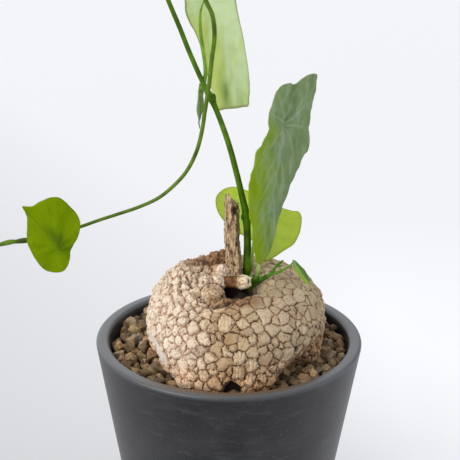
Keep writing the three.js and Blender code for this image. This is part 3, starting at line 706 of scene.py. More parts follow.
def pumice():
    """Porous volcanic grit: each grain tan, brown or grey, with pores and dust."""
    made, tree, place = material("porous volcanic grit", {"Roughness": 0.95})
    tone = put(tree, "Attribute", {}, "Fac", attribute_name="tone")
    pores = put(tree, "TexNoise", {"Vector": place, "Scale": 1 / (1.1 * MM), "Detail": 4})
    grain = put(tree, "ValToRGB", {"Fac": tone}, ramp=[
        (0, "#6d5a43"), (0.2, "#8a7354"), (0.45, "#a38a66"), (0.65, "#b39a74"), (0.78, "#978c7a"),
        (0.9, "#bd966a"), (1, "#cdb995")])
    speck = put(tree, "ValToRGB", {"Fac": pores}, ramp=[(0.32, "#5d4d3c"), (0.62, WHITE)])
    colour = put(tree, "Mix", {0: 0.6, 6: grain, 7: speck}, 2, data_type="RGBA", blend_type="MULTIPLY")
    return finished(made, colour, pores, 0.7, 0.4)


def fired_clay():
    """Unglazed dark clay, smoothed on the wheel: cloudy slate grey with a painted sheen on the left, a
    paler rim, pale scuffs and specks, and brown dust inside the rim."""
    made, tree, place = material("unglazed dark clay", {"Roughness": 0.4, "IOR": 1.5})
    x, y, z = (put(tree, "SeparateXYZ", {"Vector": place}, axis) for axis in "XYZ")
    cloud = put(tree, "TexNoise", {"Vector": place, "Scale": 1 / (20 * MM), "Detail": 6})
    fine = put(tree, "TexNoise", {"Vector": place, "Scale": 1 / (1.6 * MM), "Detail": 3})
    # Scuffs run round the pot, so they are five times as long as they are high
    drawn = put(tree, "Mapping", {"Vector": place, "Scale": (1, 1, 5)})
    scuff = put(tree, "TexNoise", {"Vector": drawn, "Scale": 1 / (12 * MM), "Detail": 7,
                                   "Roughness": 0.75})
    spot = put(tree, "TexNoise", {"Vector": place, "Scale": 1 / (0.9 * MM), "Detail": 0})
    # Painted sheen: lighter towards the left side, where the window's light glances off the wall
    painted_left_sheen = put(tree, "MapRange", {0: x, 1: -0.052, 2: -0.015, 3: 0.55, 4: 0})
    scuffs = put(tree, "ValToRGB", {"Fac": scuff}, ramp=[(0.52, BLACK), (0.76, "#8c8c8c")])
    specks = put(tree, "ValToRGB", {"Fac": spot}, ramp=[(0.77, BLACK), (0.83, "#606060")])
    top = put(tree, "MapRange", {0: z, 1: 0.1025, 2: 0.1048, 3: 0, 4: 0.9})
    # Dust lies on the front of the rim, within a few millimetres of its inner edge
    flat = put(tree, "VectorMath", {0: place, 1: (1, 1, 0)}, operation="MULTIPLY")
    out = put(tree, "VectorMath", {0: flat}, "Value", operation="LENGTH")
    dust = put(tree, "MapRange", {0: out, 1: 0.055, 2: 0.0595, 3: 0.95, 4: 0})
    for along, none, full in ((z, 0.1015, 0.1035), (y, -0.04, -0.052)):
        within_reach = put(tree, "MapRange", {0: along, 1: none, 2: full})
        dust = put(tree, "Math", {0: dust, 1: within_reach}, operation="MULTIPLY")
    colour = put(tree, "ValToRGB", {"Fac": cloud}, ramp=[
        (0.3, "#070708"), (0.5, "#0d0d0f"), (0.7, "#222226")])
    for share, tint in ((painted_left_sheen, "#3a3a3c"), (scuffs, "#64656b"), (specks, "#9a9b9e"),
                        (top, "#505459"), (dust, "#6b5238")):
        colour = put(tree, "Mix", {0: share, 6: colour, 7: tint}, 2, data_type="RGBA")
    return finished(made, colour, fine, 0.25, 0.15)


def potting_soil():
    """Damp potting mix: dark fibre and crumbs of 2 mm, seen only through the drain holes."""
    made, tree, place = material("dark potting mix", {"Roughness": 0.95})
    crumb = put(tree, "TexNoise", {"Vector": place, "Scale": 1 / (2 * MM), "Detail": 5})
    colour = put(tree, "ValToRGB", {"Fac": crumb}, ramp=[(0.3, "#1d140d"), (0.7, "#4f3c2b")])
    return finished(made, colour, crumb, 0.8, 0.8)


def living_stem(name, dark, light):
    """A living green stem: smooth and slightly waxy, with soft patches of a lighter green."""
    made, tree, place = material(name, {
        "Roughness": 0.42, "Specular IOR Level": 0.15, "Subsurface Weight": 0.04,
        "Subsurface Scale": 0.8 * MM})
    patch = put(tree, "TexNoise", {"Vector": place, "Scale": 1 / (6 * MM), "Detail": 3})
    colour = put(tree, "ValToRGB", {"Fac": patch}, ramp=[(0.32, dark), (0.68, light)])
    return finished(made, colour, patch, 0.2, 0.2)


def dry_wood():
    """Dead wood: dry and fibrous, with brown streaks along the stem and painted shade in its pit and at
    its foot, and darker in the middle of its broken top.
    """
    made, tree, place = material("dead woody stem", {"Roughness": 0.9})
    # Fibres run up the stem, so the pattern is drawn out five times along Z, with knots of 2 mm
    drawn = put(tree, "Mapping", {"Vector": place, "Scale": (1, 1, 0.2)})
    fibre = put(tree, "TexNoise", {"Vector": drawn, "Scale": 1 / (0.8 * MM), "Detail": 3,
                                   "Roughness": 0.6})
    knot = put(tree, "TexNoise", {"Vector": place, "Scale": 1 / (2 * MM), "Detail": 4,
                                  "Roughness": 0.7})
    fibre = put(tree, "Mix", {0: 0.25, 2: fibre, 3: knot}, data_type="FLOAT")
    pit = put(tree, "Attribute", {}, "Fac", attribute_name="hollow")
    colour = put(tree, "ValToRGB", {"Fac": fibre}, ramp=[(0.4, "#4a321f"), (0.58, "#c2a784")])
    colour = put(tree, "Mix", {0: pit, 6: colour, 7: "#2d1c10"}, 2, data_type="RGBA")
    return finished(made, colour, fibre, 0.9, 0.6)


def cut_wood():
    """An old cut: amber-brown skin that dries to a pale woody face, with a slit painted dark as shade."""
    made, tree, place = material("cut stem, healed over", {"Roughness": 0.7})
    grain = put(tree, "TexNoise", {"Vector": place, "Scale": 1 / (1.2 * MM), "Detail": 4})
    pale, slit = (put(tree, "Attribute", {}, "Fac", attribute_name=name) for name in ("pale", "hollow"))
    colour = put(tree, "ValToRGB", {"Fac": grain}, ramp=[(0.3, "#3d240d"), (0.65, "#7d5022")])
    face = put(tree, "ValToRGB", {"Fac": grain}, ramp=[(0.34, "#a98452"), (0.58, "#ebdcc0")])
    for share, tint in ((pale, face), (slit, "#24160c")):
        colour = put(tree, "Mix", {0: share, 6: colour, 7: tint}, 2, data_type="RGBA")
    return finished(made, colour, grain, 0.6, 0.3)


def leaf_skin(name, left, right, vein, through, share, patch_size=9, stretch=1, turns=0.4, mottle=0,
              fold="#8fa85c"):
    """A thin waxy leaf: its colour turns from the left edge inwards, from painted light that shines through
    to a grey painted sheen, and is mottled with painted shade and painted sheen; veins are paler, the
    rim is darker and a fold has painted shade. A share of what is seen is the light that comes through it."""
    made, tree, place = material(name, {"Roughness": 0.55, "Specular IOR Level": 0.08})
    mask = {key: put(tree, "Attribute", {}, "Fac", attribute_name=key)
            for key in ("vein", "across", "rim", "shade")}
    drawn = put(tree, "Mapping", {"Vector": place, "Scale": (1, 1, stretch)})
    patch = put(tree, "TexNoise", {"Vector": drawn, "Scale": 1 / (patch_size * MM), "Detail": 3})
    # Painted light: yellow-green where light shines through at the left edge, a grey painted sheen inwards
    turn = put(tree, "Math", {0: patch, 1: turns, 2: -turns / 2}, operation="MULTIPLY_ADD")
    side = put(tree, "Math", {0: mask["across"], 1: turn}, operation="ADD")
    skin = put(tree, "ValToRGB", {"Fac": side}, ramp=[(0.12, left), (0.6, right)])
    # Mottling of 5 mm, drawn out along the blade: painted shade in darker green, painted sheen in pale grey
    blotch = put(tree, "Mapping", {"Vector": place, "Scale": (1, 1, 0.5)})
    blotch = put(tree, "TexNoise", {"Vector": blotch, "Scale": 1 / (5 * MM), "Detail": 2})
    inward = put(tree, "MapRange", {0: side, 1: 0.1, 2: 0.5, 3: 0.3 * mottle, 4: mottle})
    layers = []
    for full, tint in ((0.3, "#4f7030"), (0.7, "#b9c8b4")):
        amount = put(tree, "MapRange", {0: blotch, 1: 0.5, 2: full})
        layers.append((put(tree, "Math", {0: amount, 1: inward}, operation="MULTIPLY"), tint))
    # A fold's painted shade, then the darker rim and the paler veins
    layers += [(mask["shade"], fold), (mask["rim"], "#8a8c4a"), (mask["vein"], vein)]
    for amount, tint in layers:
        skin = put(tree, "Mix", {0: amount, 6: skin, 7: tint}, 2, data_type="RGBA")
    lit = put(tree, "Mix", {0: 0.6, 6: skin, 7: through}, 2, data_type="RGBA")
    back = put(tree, "BsdfTranslucent", {"Color": lit})
    shader = tree.nodes["Principled BSDF"]
    both = put(tree, "MixShader", {0: share, 1: shader.outputs[0], 2: back})
    tree.links.new(both, tree.nodes["Material Output"].inputs["Surface"])
    return finished(made, skin, patch, 0.15, 0.3)


# The pot, the soil and the gravel

def pot_piece():
    """A turned pot: a tapered cylinder, hollowed from its rim, with its edges rounded."""
    height, rim, wall, edge = POT["height"], POT["rim"], POT["wall"], POT["edge"]
    outer = rim - height * POT["slope"]
    only()
    bpy.ops.mesh.primitive_cone_add(
        vertices=POT["sides"], radius1=outer * MM, radius2=rim * MM, depth=height * MM,
        location=(0, 0, height / 2 * MM), end_fill_type="NGON",
    )
    piece = settle(bpy.context.object)
    edit(piece)
    bpy.ops.mesh.select_all(action="DESELECT")
    bpy.ops.object.mode_set(mode="OBJECT")
    for face in piece.data.polygons:
        face.select = face.center.z > (height - 1) * MM and face.normal.z > 0.9
    bpy.ops.object.mode_set(mode="EDIT")
    bpy.ops.mesh.inset(thickness=wall * MM)
    inside = rim - wall
    depth = height - POT["floor"]
    bpy.ops.mesh.extrude_region_move(TRANSFORM_OT_translate={"value": (0, 0, -depth * MM)})
    low = (inside - depth * POT["slope"]) / inside
    bpy.ops.transform.resize(value=(low, low, 1))
    bpy.ops.object.mode_set(mode="OBJECT")
    rounded = modify(piece, "BEVEL", width=edge * MM, segments=5, limit_method="ANGLE",
                     angle_limit=math.radians(50))
    drains = drain_cutter()
    modify(rounded, "BOOLEAN", object=drains, operation="DIFFERENCE", solver="EXACT")
    bpy.data.objects.remove(drains)
    rounded.name = "turned_pot"
    return belongs(shade(rounded, 35), fired_clay(), "pot_clay", "pot")


def drain_cutter():
    """Upright rods where the drain holes go, as one piece."""
    rods = []
    for i in range(DRAIN["count"]):
        turn = 2 * math.pi * (i + 0.5) / DRAIN["count"]
        only()
        bpy.ops.mesh.primitive_cylinder_add(
            vertices=32, radius=DRAIN["radius"] * MM, depth=4 * POT["floor"] * MM,
            location=(DRAIN["circle"] * math.cos(turn) * MM, DRAIN["circle"] * math.sin(turn) * MM, 0),
        )
        rods.append(settle(bpy.context.object))
    return join("drain_cutter", rods)


def pebble(random_source):
    """An angular grain of one millimetre's radius: a ball cut by ten flat planes."""
    only()
    bpy.ops.mesh.primitive_ico_sphere_add(subdivisions=3, radius=MM)
    piece = bpy.context.object
    points = corners(piece)
    for _ in range(10):
        facing = np.array([random_source.gauss(0, 1) for _ in range(3)])
        facing /= np.linalg.norm(facing)
        beyond = np.maximum(points @ facing - random_source.uniform(0.5, 0.85), 0)
        points = points - np.outer(beyond, facing)
    stretch = np.array([random_source.uniform(0.85, 1.35) for _ in range(3)])
    move_corners(piece, points * stretch)
    return modify(piece, "DECIMATE", ratio=0.07)


def gravel_spots(draw):
    """Where the grains lie, in layers: clear of each other, of the pot's wall and of the caudex."""
    grain, level = GRAVEL["grain"], GRAVEL["level"]
    reach = POT["rim"] - POT["wall"] - (POT["height"] - level) * POT["slope"]
    centre = np.array(CAUDEX["centre"])
    spots = []
    for deep, share, varied in GRAVEL["layers"]:
        height, apart = level - deep, share * grain
        layer = []
        for _ in range(GRAVEL["tries"]):
            x, y = (draw.uniform(-reach, reach) for _ in range(2))
            if math.hypot(x, y) > reach - 0.47 * grain:
                continue
            place = np.array((x, y, height + GRAVEL["climb"] * y + varied * draw.uniform(-1.1, 0.9)))
            away = place - centre
            length = np.linalg.norm(away)
            if length < caudex_radius(away[None] / length)[0] - 1.5:
                continue
            if all((x - a) ** 2 + (y - b) ** 2 > apart * apart for a, b, _ in layer):
                layer.append(tuple(place))
        spots += layer
    return spots


def gravel_piece():
    """Grains packed in the pot's mouth in two layers, the lower one in the upper one's gaps."""
    draw = random.Random(GRAVEL["seed"])
    forms = [pebble(draw) for _ in range(GRAVEL["forms"])]
    grains = []
    for spot in gravel_spots(draw):
        form = draw.choice(forms)
        copy = form.copy()
        copy.data = form.data.copy()
        bpy.context.collection.objects.link(copy)
        size = GRAVEL["grain"] * draw.uniform(0.42, 0.62)
        turn = Matrix.Rotation(draw.uniform(0, 2 * math.pi), 4, Vector([draw.gauss(0, 1) for _ in range(3)]))
        copy.data.transform(Matrix.Translation(Vector(spot) * MM) @ turn @ Matrix.Scale(size, 4))
        store(copy, "tone", [draw.random()] * len(copy.data.vertices))
        grains.append(copy)
    for form in forms:
        bpy.data.objects.remove(form)
    piece = join("gravel_grains", grains)
    return belongs(shade(piece, 32), pumice(), "pumice_gravel", "gravel")


# The caudex

def caudex_radius(directions):
    """Distance from the caudex's centre to its skin in each direction."""
    power = CAUDEX["roundness"]
    upright = np.where(directions[:, 2] > 0, CAUDEX["rise"], CAUDEX["drop"])
    sizes = np.column_stack([np.full(len(directions), half) for half in CAUDEX["half"]] + [upright])
    radius = (np.abs(directions / sizes) ** power).sum(1) ** (-1 / power)
    for at, rise, spread in FORMS.values():
        radius = radius + rise * nearness(directions, at, spread)
    return radius


def nearness(directions, at, spread):
    """1 at a point of the caudex, falling away over an angle in degrees."""
    towards = np.array(at) - np.array(CAUDEX["centre"])
    towards = towards / np.linalg.norm(towards)
    angle = np.degrees(np.arccos(np.clip(directions @ towards, -1, 1)))
    return np.exp(-((angle / spread) ** 2))


def plate_reach(points):
    """Half the width of a broad plate in the zone of each point."""
    x, _, z = points.T
    zones = PLATES["reach"]
    reach = np.full(len(points), float(zones["middle"]))
    reach[x < -14] = zones["left"]
    reach[(x < -4) & (z > 126)] = zones["upper left"]
    reach[(x > 8) & (z > 113)] = zones["right lobe"]
    reach[z < 107] = zones["low"]
    reach[z < 92] = zones["buried"]
    return reach


def cells(seed, passes, reach_at):
    """Middles of cells on the skin and how far each reaches: broad ones first, then smaller ones that
    fill the room between them. Each pass is a share of the reach and a number of tries."""
    sites, reach = np.empty((0, 3)), np.empty(0)
    for k, (share, tries) in enumerate(passes):
        height, turn, draw = seeded(seed + k, 3 * tries).reshape(-1, 3).T
        height = 2 * height - 1
        turn = 2 * np.pi * turn
        flat = np.sqrt(1 - height * height)
        directions = np.column_stack([flat * np.cos(turn), flat * np.sin(turn), height])
        points = directions * caudex_radius(directions)[:, None] + np.array(CAUDEX["centre"])
        for point, own in zip(points, share * reach_at(points) * (0.85 + 0.3 * draw)):
            if (((sites - point) ** 2).sum(1) > (0.97 * (reach + own)) ** 2).all():
                sites = np.vstack([sites, point])
                reach = np.append(reach, own)
    return sites, reach


def cell_edges(points, sites, reach):
    """For each point the number of its cell and the distance to the cell's edge in millimetres."""
    between = np.linalg.norm(sites[:, None] - sites[None], axis=2)
    owner = np.empty(len(points), int)
    edge = np.empty(len(points))
    for start in range(0, len(points), 2000):
        some = points[start:start + 2000]
        rows = np.arange(len(some))
        power = ((some ** 2).sum(1)[:, None] - 2 * some @ sites.T + (sites ** 2).sum(1)
                 - PLATES["pull"] * reach ** 2)
        first = power.argmin(1)
        least = power[rows, first]
        power[rows, first] = np.inf
        spans = between[first]
        spans[rows, first] = 1
        owner[start:start + 2000] = first
        edge[start:start + 2000] = ((power - least[:, None]) / (2 * spans)).min(1)
    return owner, edge


def caudex_form():
    """The broad form and the lumps on it, made one closed skin."""
    only()
    bpy.ops.mesh.primitive_ico_sphere_add(subdivisions=7, radius=MM)
    body = bpy.context.object
    directions = corners(body)
    directions /= np.linalg.norm(directions, axis=1)[:, None]
    move_corners(body, directions * caudex_radius(directions)[:, None] + np.array(CAUDEX["centre"]))
    parts = [body]
    for seed, (middle, radius, roughness) in enumerate(LUMPS.values()):
        only()
        bpy.ops.mesh.primitive_ico_sphere_add(subdivisions=5, radius=radius * MM,
                                              location=Vector(middle) * MM)
        lump = settle(bpy.context.object)
        points = corners(lump)
        uneven = roughness * rough(points, 0.75 * radius, 30 + seed)
        move_corners(lump, points + (points - np.array(middle)) * uneven[:, None])
        parts.append(lump)
    piece = join("cork_caudex", parts)
    modify(piece, "REMESH", mode="VOXEL", voxel_size=CAUDEX["voxel"] * MM)
    edit(piece)
    bpy.ops.mesh.vertices_smooth(factor=0.5, repeat=4)
    bpy.ops.object.mode_set(mode="OBJECT")
    return piece


def chip_edges(points):
    """Distance to the edges of the chips that fill the bark, and one draw for each chip."""
    edge, draw = np.empty(len(points)), np.empty(len(points))
    for i, point in enumerate(points / CHIPS["size"]):
        (near, further, _, _), (first, second, _, _) = noise.voronoi(point)
        edge[i] = CHIPS["size"] * (further ** 2 - near ** 2) / (2 * (first - second).length)
        draw[i] = noise.cell(first * 7)
    return edge, draw


def furrow_depths(points, on_lump):
    """How deep the furrows and pits are at each point, and how dark the shade painted in them and in
    the hollows is. Furrows stop at the lumps.
    """
    depth, dark = np.zeros(len(points)), np.zeros(len(points))
    wavy = shaken(points, 3, 0.9, 9)
    for line, deep, half, shadow in FURROWS.values():
        away, _ = distance_to(wavy, np.array(line, float))
        depth += deep * np.exp(-(away / half) ** 2) * (1 - 0.85 * on_lump)
        shadow = shadow * (1 - 0.85 * on_lump)
        dark = np.maximum(dark, shadow * smooth(1.3 * half, 0.3 * half, away))
    for middle, radius in PITS:
        away = np.linalg.norm(points - np.array(middle), axis=1)
        depth += 1.1 * radius * np.exp(-(away / radius) ** 2)
        dark = np.maximum(dark, smooth(1.1 * radius, 0.5 * radius, away))
    for middle, half in HOLLOWS:
        dark = np.maximum(dark, within(points, middle, half, 1.15, 0.85))
    return depth, dark


def bark_zones(points):
    """How far each point lies in each zone of the bark, from 0 to 1."""
    axes = dict(zip("xyz", points.T))
    return {
        name: np.prod([smooth(none, full, axes[axis]) for axis, none, full in ramps], axis=0)
        for name, ramps in ZONES.items()
    }


def lump_zones(points, facing):
    """How far each point lies on a craggy lump, and in the groove round its foot."""
    on_lump, foot = np.zeros(len(points)), np.zeros(len(points))
    for middle, radius, roughness in LUMPS.values():
        if roughness > CRAGGY:
            away = np.linalg.norm(points - np.array(middle), axis=1) / radius
            on_lump = np.maximum(on_lump, smooth(1.3, 1.08, away))
            ring = np.exp(-((away - 1.2) / 0.09) ** 2)
            foot = np.maximum(foot, ring * (radius > 2.9) * (facing[:, 2] < 0.95))
    return on_lump, foot


def bare_zone(points):
    """How far each point lies on the smooth pale strip."""
    strip, half, back = BARE
    nearer = points.copy()
    nearer[:, 1] -= np.clip(points[:, 1] - strip[0][1], 0, back)
    away, _ = distance_to(nearer, np.array(strip, float))
    return smooth(1.25 * half, 0.95 * half, away)


def bark_chips(points, zone, edge, broad, breaking):
    """Chips round the edges of broken plates, and all over some of them: how far each point is raised,
    and how far it lies in a crack between them."""
    chip_edge, chip = chip_edges(shaken(points, 1.2, 0.3, 3))
    inner = np.where(broad, smooth(1.2, 0.7, edge), 1) * (breaking < 0.6)
    broken = (1 - 0.8 * zone["right_lobe"]) * np.maximum(inner, breaking < 0.15)
    broken = np.maximum(broken, 0.4 * zone["upper_left"]) * (1 - 0.4 * zone["left"])
    raised = broken * CHIPS["step"] * (chip - 0.5) * smooth(0.05, 0.3, chip_edge)
    return raised, broken * (1 - smooth(0, CHIPS["width"], chip_edge))


def bark_plates(points, zone):
    """The bark's plates: how far each point is raised, how dark a line runs through it, how far it
    lies from its plate's edge, and a draw for the plate's tone."""
    flat = zone["flat"]
    sites, reach = cells(PLATES["seed"], PLATES["passes"], plate_reach)
    warped = shaken(shaken(points, 5, 1.5, 1), 1.3, 0.5, 2)
    owner, edge = cell_edges(warped, sites, reach)
    edge = edge + 0.16 * rough(points, 1, 8)
    tone, layering, setting, tilt, lift, breaking = seeded(5, 6 * len(sites)).reshape(6, -1)[:, owner]
    broad = reach[owner] > 0.8 * plate_reach(points)
    width = PLATES["crack_width"] * (1 + 0.55 * rough(points, 5, 21))
    crack = 1 - smooth(0, width, edge)
    line = crack * smooth(-0.75, -0.2, rough(points, 4, 22))

    # Steps on many plates, with a dark line at the foot of each
    stepped = (layering < 0.65 + 0.3 * zone["low_down"]) * (1 - 0.85 * flat)
    drawn = edge + 0.3 * rough(points, 1.6, 10)
    steps = np.zeros(len(points))
    for inset, rise in PLATES["steps"]:
        inset = inset * (0.75 + 0.5 * setting)
        steps += stepped * rise * smooth(inset - 0.12, inset + 0.12, drawn)
        line = np.maximum(line, 0.7 * stepped * np.exp(-((drawn - inset + 0.08) / 0.18) ** 2))
    # Upright ribs on a few broad plates, dark in between
    ribbed = (tone > 0.84) * (1 - flat) * (1 - zone["upper_left"]) * broad
    ribs = np.sin(2 * np.pi * (points[:, 0] + 0.4 * rough(points, 4, 23)) / PLATES["rib_apart"])
    line = np.maximum(line, 0.6 * ribbed * smooth(-0.5, -0.95, ribs))
    chipped, chip_crack = bark_chips(points, zone, edge, broad, breaking)
    line = np.maximum(line, 0.55 * chip_crack)
    # Each plate leans, lies at a height of its own and swells towards its middle
    sloped = np.column_stack([tilt, lift, layering]) - 0.5
    lean = 0.17 * ((points - sites[owner]) * sloped).sum(1) + 0.35 * (lift - 0.5)
    swell = 0.07 * smooth(0, 1.4, edge)
    relief = steps + chipped + (lean + swell) * smooth(0.1, 0.4, edge) + PLATES["rib"] * ribbed * ribs
    relief -= PLATES["crack"] * crack + CHIPS["depth"] * chip_crack
    return relief, line, edge, tone


def bark_wrinkles(points, zone, on_lump, bare):
    """Wrinkles on the left and at the right edge, and the craggy skin of the lumps: how far each point
    is raised, and how dark their seams are. Thin dark threads cross the upper left and, broken up, the
    rest but for the right lobe."""
    fold = np.abs(rough(points * (1, 1, 0.5), 2.6, 6))
    gnarl = np.abs(rough(points, 2.2, 11))
    wrinkled = (0.5 * zone["left"] + 0.8 * zone["upper_left"] + zone["right_edge"]) * (1 - bare)
    raised = wrinkled * (0.35 - fold) + on_lump * (0.6 - 1.7 * gnarl)
    seam = smooth(0.06, 0.015, fold) * np.clip(wrinkled, 0, 1)
    knot = smooth(0.09, 0.03, gnarl) * on_lump
    dashed = (1 - zone["right_lobe"]) * smooth(-0.15, 0.15, rough(points, 2.4, 26))
    thread = smooth(0.06, 0.01, np.abs(rough(points * (1, 1, 0.6), 1.9, 24)))
    thread = thread * np.maximum(zone["upper_left"], dashed)
    return raised, np.max([0.6 * seam, 0.7 * knot, 0.55 * thread], axis=0)


def pale_zone(points, zone):
    """How far each point lies on the pale left side, or on one of three lumps that are as pale."""
    pale = zone["left"]
    for name in ("pale knob", "left of its upper part", "right of its upper part"):
        middle, radius, _ = LUMPS[name]
        away = np.linalg.norm(points - np.array(middle), axis=1) / radius
        pale = np.maximum(pale, smooth(1.5, 1.15, away))
    return pale


def caudex_piece():
    """The swollen stem base: its form, then bark plates, wrinkles, furrows, crumbs and broad swells."""
    piece = caudex_form()
    points, facing = corners(piece), normals(piece)
    zone = bark_zones(points)
    on_lump, foot = lump_zones(points, facing)
    bare = bare_zone(points)
    upper_left, crest = zone["upper_left"], zone["crest"]
    # Brown dirt with painted shade joins the crest's mark
    for middle, half in DIRT_AND_SHADE:
        crest = np.maximum(crest, within(points, middle, half, 1.3, 0.5))
    plated = (1 - bare) * (1 - on_lump)
    relief, line, edge, tone = bark_plates(points, zone)
    wrinkle, seams = bark_wrinkles(points, zone, on_lump, bare)
    depth, dark = furrow_depths(points, on_lump)
    # Crumbs are coarsest on the lumps, the crest, and the dirt with its painted shade
    crumbs = 0.1 + 0.15 * upper_left + 0.06 * zone["low_down"] + 0.26 * np.maximum(on_lump, crest)
    swells = 0.6 * rough(points, 14, 4) + upper_left * 0.7 * rough(points, 5, 5)
    rise = relief * plated + wrinkle + crumbs * rough(points, 1.1, 7) + swells
    rise -= depth + 0.8 * bare + 0.5 * foot
    move_corners(piece, points + facing * rise[:, None])

    # The lumps and the upper left have a patchy tone in place of their plates' own
    patchy = 0.65 + 0.5 * rough(points, 2, 19)
    # The groove round each craggy lump's foot gets a dark line of painted shade
    marks = {
        "line": np.max([line * plated, seams, 0.7 * foot], axis=0),
        "near_line": np.clip(edge / 1.3, 0, 1),
        "tone": tone + np.maximum(on_lump, 0.8 * upper_left) * (patchy - tone),
        "hollow": dark,
        "right_lobe": zone["right_lobe"],
        "left_side": pale_zone(points, zone),
        "low_down": zone["low_down"],
        "bare": bare,
        "crest": crest,
    }
    for name, values in marks.items():
        store(piece, name, values)
    modify(piece, "DECIMATE", ratio=CAUDEX["kept"])
    return belongs(shade(piece, 60), cork_bark(), "cork_bark", "caudex")


# Stems

def spread_over(values, fractions):
    return np.interp(fractions, np.linspace(0, 1, len(values)), values)


def tube(name, stem, steps, sides=16):
    """A tapering stem along its route, swollen at its nodes and closed at both ends."""
    line = along_curve(stem["route"], steps)
    lengths = np.concatenate([[0], np.cumsum(np.linalg.norm(np.diff(line, axis=0), axis=1))])
    radii = spread_over(stem["radii"], lengths / lengths[-1])
    for place, rise in stem.get("nodes", []):
        radii = radii + rise * np.exp(-((lengths - place * lengths[-1]) / NODE_LENGTH) ** 2)
    only()
    bpy.ops.curve.primitive_bezier_curve_add(location=(0, 0, 0))
    curve = bpy.context.object
    knots = curve.data.splines[0].bezier_points
    knots.add(steps - len(knots))
    for knot, point, radius in zip(knots, line, radii):
        knot.co = Vector(point) * MM
        knot.handle_left_type = knot.handle_right_type = "AUTO"
        knot.radius = radius
    curve.data.dimensions = "3D"
    curve.data.resolution_u = 2
    curve.data.bevel_depth = MM
    curve.data.bevel_resolution = sides // 4
    curve.data.use_fill_caps = True
    bpy.ops.object.convert(target="MESH")
    piece = bpy.context.object
    piece.name = name
    edit(piece)
    bpy.ops.mesh.remove_doubles(threshold=0.01 * MM)
    return face_outwards(piece)


def dead_stem_piece():
    """The dead stem: fluted and split along its length, with a jagged broken top and a shallow pit
    that is painted dark as a hole.
    """
    piece = tube("dry_stem", DEAD_STEM, 130, 36)
    points = corners(piece)
    line = along_curve(DEAD_STEM["route"], 200)
    nearest = ((points[:, None, :] - line[None]) ** 2).sum(2).argmin(1)
    outward = points - line[nearest]
    outward[:, 2] = 0
    turn = np.arctan2(outward[:, 1], outward[:, 0])
    up = points[:, 2]
    flutes = 0.06 * np.sin(3 * turn + 0.03 * up) + 0.08 * np.sin(8 * turn - 0.06 * up)
    bark = rough(points * (1, 1, 0.3), 1.2, 12) * 0.13 + rough(points, 3.2, 13) * 0.08
    bark += 0.2 * smooth(150, 139, up) * rough(points, 1.9, 25)
    points = points + outward * (flutes + bark)[:, None]
    top = line[-1][2]
    slope = 0.5 + 0.5 * np.cos(turn - 0.1) - 0.35 * np.exp(-((turn + 2) / 0.6) ** 2)
    jagged = DEAD_STEM["splinter"] * slope + 1.2 * rough(points * (1, 1, 0), 1, 14)
    points[:, 2] -= jagged * smooth(top - 7, top, up)
    at, radius = DEAD_STEM["hollow"]
    pit = np.exp(-(np.linalg.norm((points - np.array(at)) / (1, 1, 1.6), axis=1) / radius) ** 2)
    points -= outward * (0.5 * pit)[:, None]
    move_corners(piece, points)
    # Painted shade in the pit and at the foot, where the stem goes into the caudex; darker also in the
    # middle of the broken top
    hole_shade = smooth(0.25, 0.7, pit)
    core = np.linalg.norm(outward, axis=1) < 1.5
    shaded = smooth(138.4, 136.4, points[:, 2])
    store(piece, "hollow", np.max([hole_shade, shaded, 0.6 * core * (points[:, 2] > top - 3)], axis=0))
    return belongs(shade(piece, 50), dry_wood(), "dead_wood", "dead_stem")


def cut_stub_piece():
    """A short stub with a flared, pale cut end, with a slit in it painted dark as shade."""
    piece = tube("cut_stem_stub", CUT_STUB, 40, 24)
    points = corners(piece)
    move_corners(piece, points + normals(piece) * (0.5 * rough(points, 1.8, 15))[:, None])
    end = smooth(3, 4.6, points[:, 0] + 0.8 * rough(points, 1.5, 18))
    store(piece, "hollow", within(points, *CUT_STUB["slit"], 1.3, 0.5))
    store(piece, "pale", end)
    return belongs(shade(piece, 50), cut_wood(), "cut_wood", "cut_stub")


def bud(middle, radius):
    """A small upright bud or scar."""
    only()
    bpy.ops.mesh.primitive_uv_sphere_add(segments=16, ring_count=10, radius=radius * MM,
                                         location=Vector(middle) * MM)
    made = bpy.context.object
    made.scale = (0.8, 0.8, 1.5)
    return settle(made)


def green_pieces():
    """The living vine, the thin side shoot and the sprout with its twigs and buds."""
    vine = join("living_vine", [tube("living_vine", VINE, 150, 20)] + [bud(*scar) for scar in SCARS])
    shoot = tube("thin_side_shoot", SIDE_SHOOT, 170, 16)
    twigs = [tube("sprout_part", part, 30, 12) for part in SPROUT.values()]
    sprout = join("green_sprout", twigs + [bud(*small) for small in BUDS])
    for piece, name, dark, light, node in (
            (vine, "deep green living stem", "#315004", "#52790c", "vine"),
            (shoot, "thin olive stem", "#3c5410", "#5f7d1c", "side_shoot"),
            (sprout, "young green sprout", "#2f5a0c", "#5b8f20", "sprout")):
        belongs(shade(piece), living_stem(name, dark, light), "green_stem", node)


# Leaves

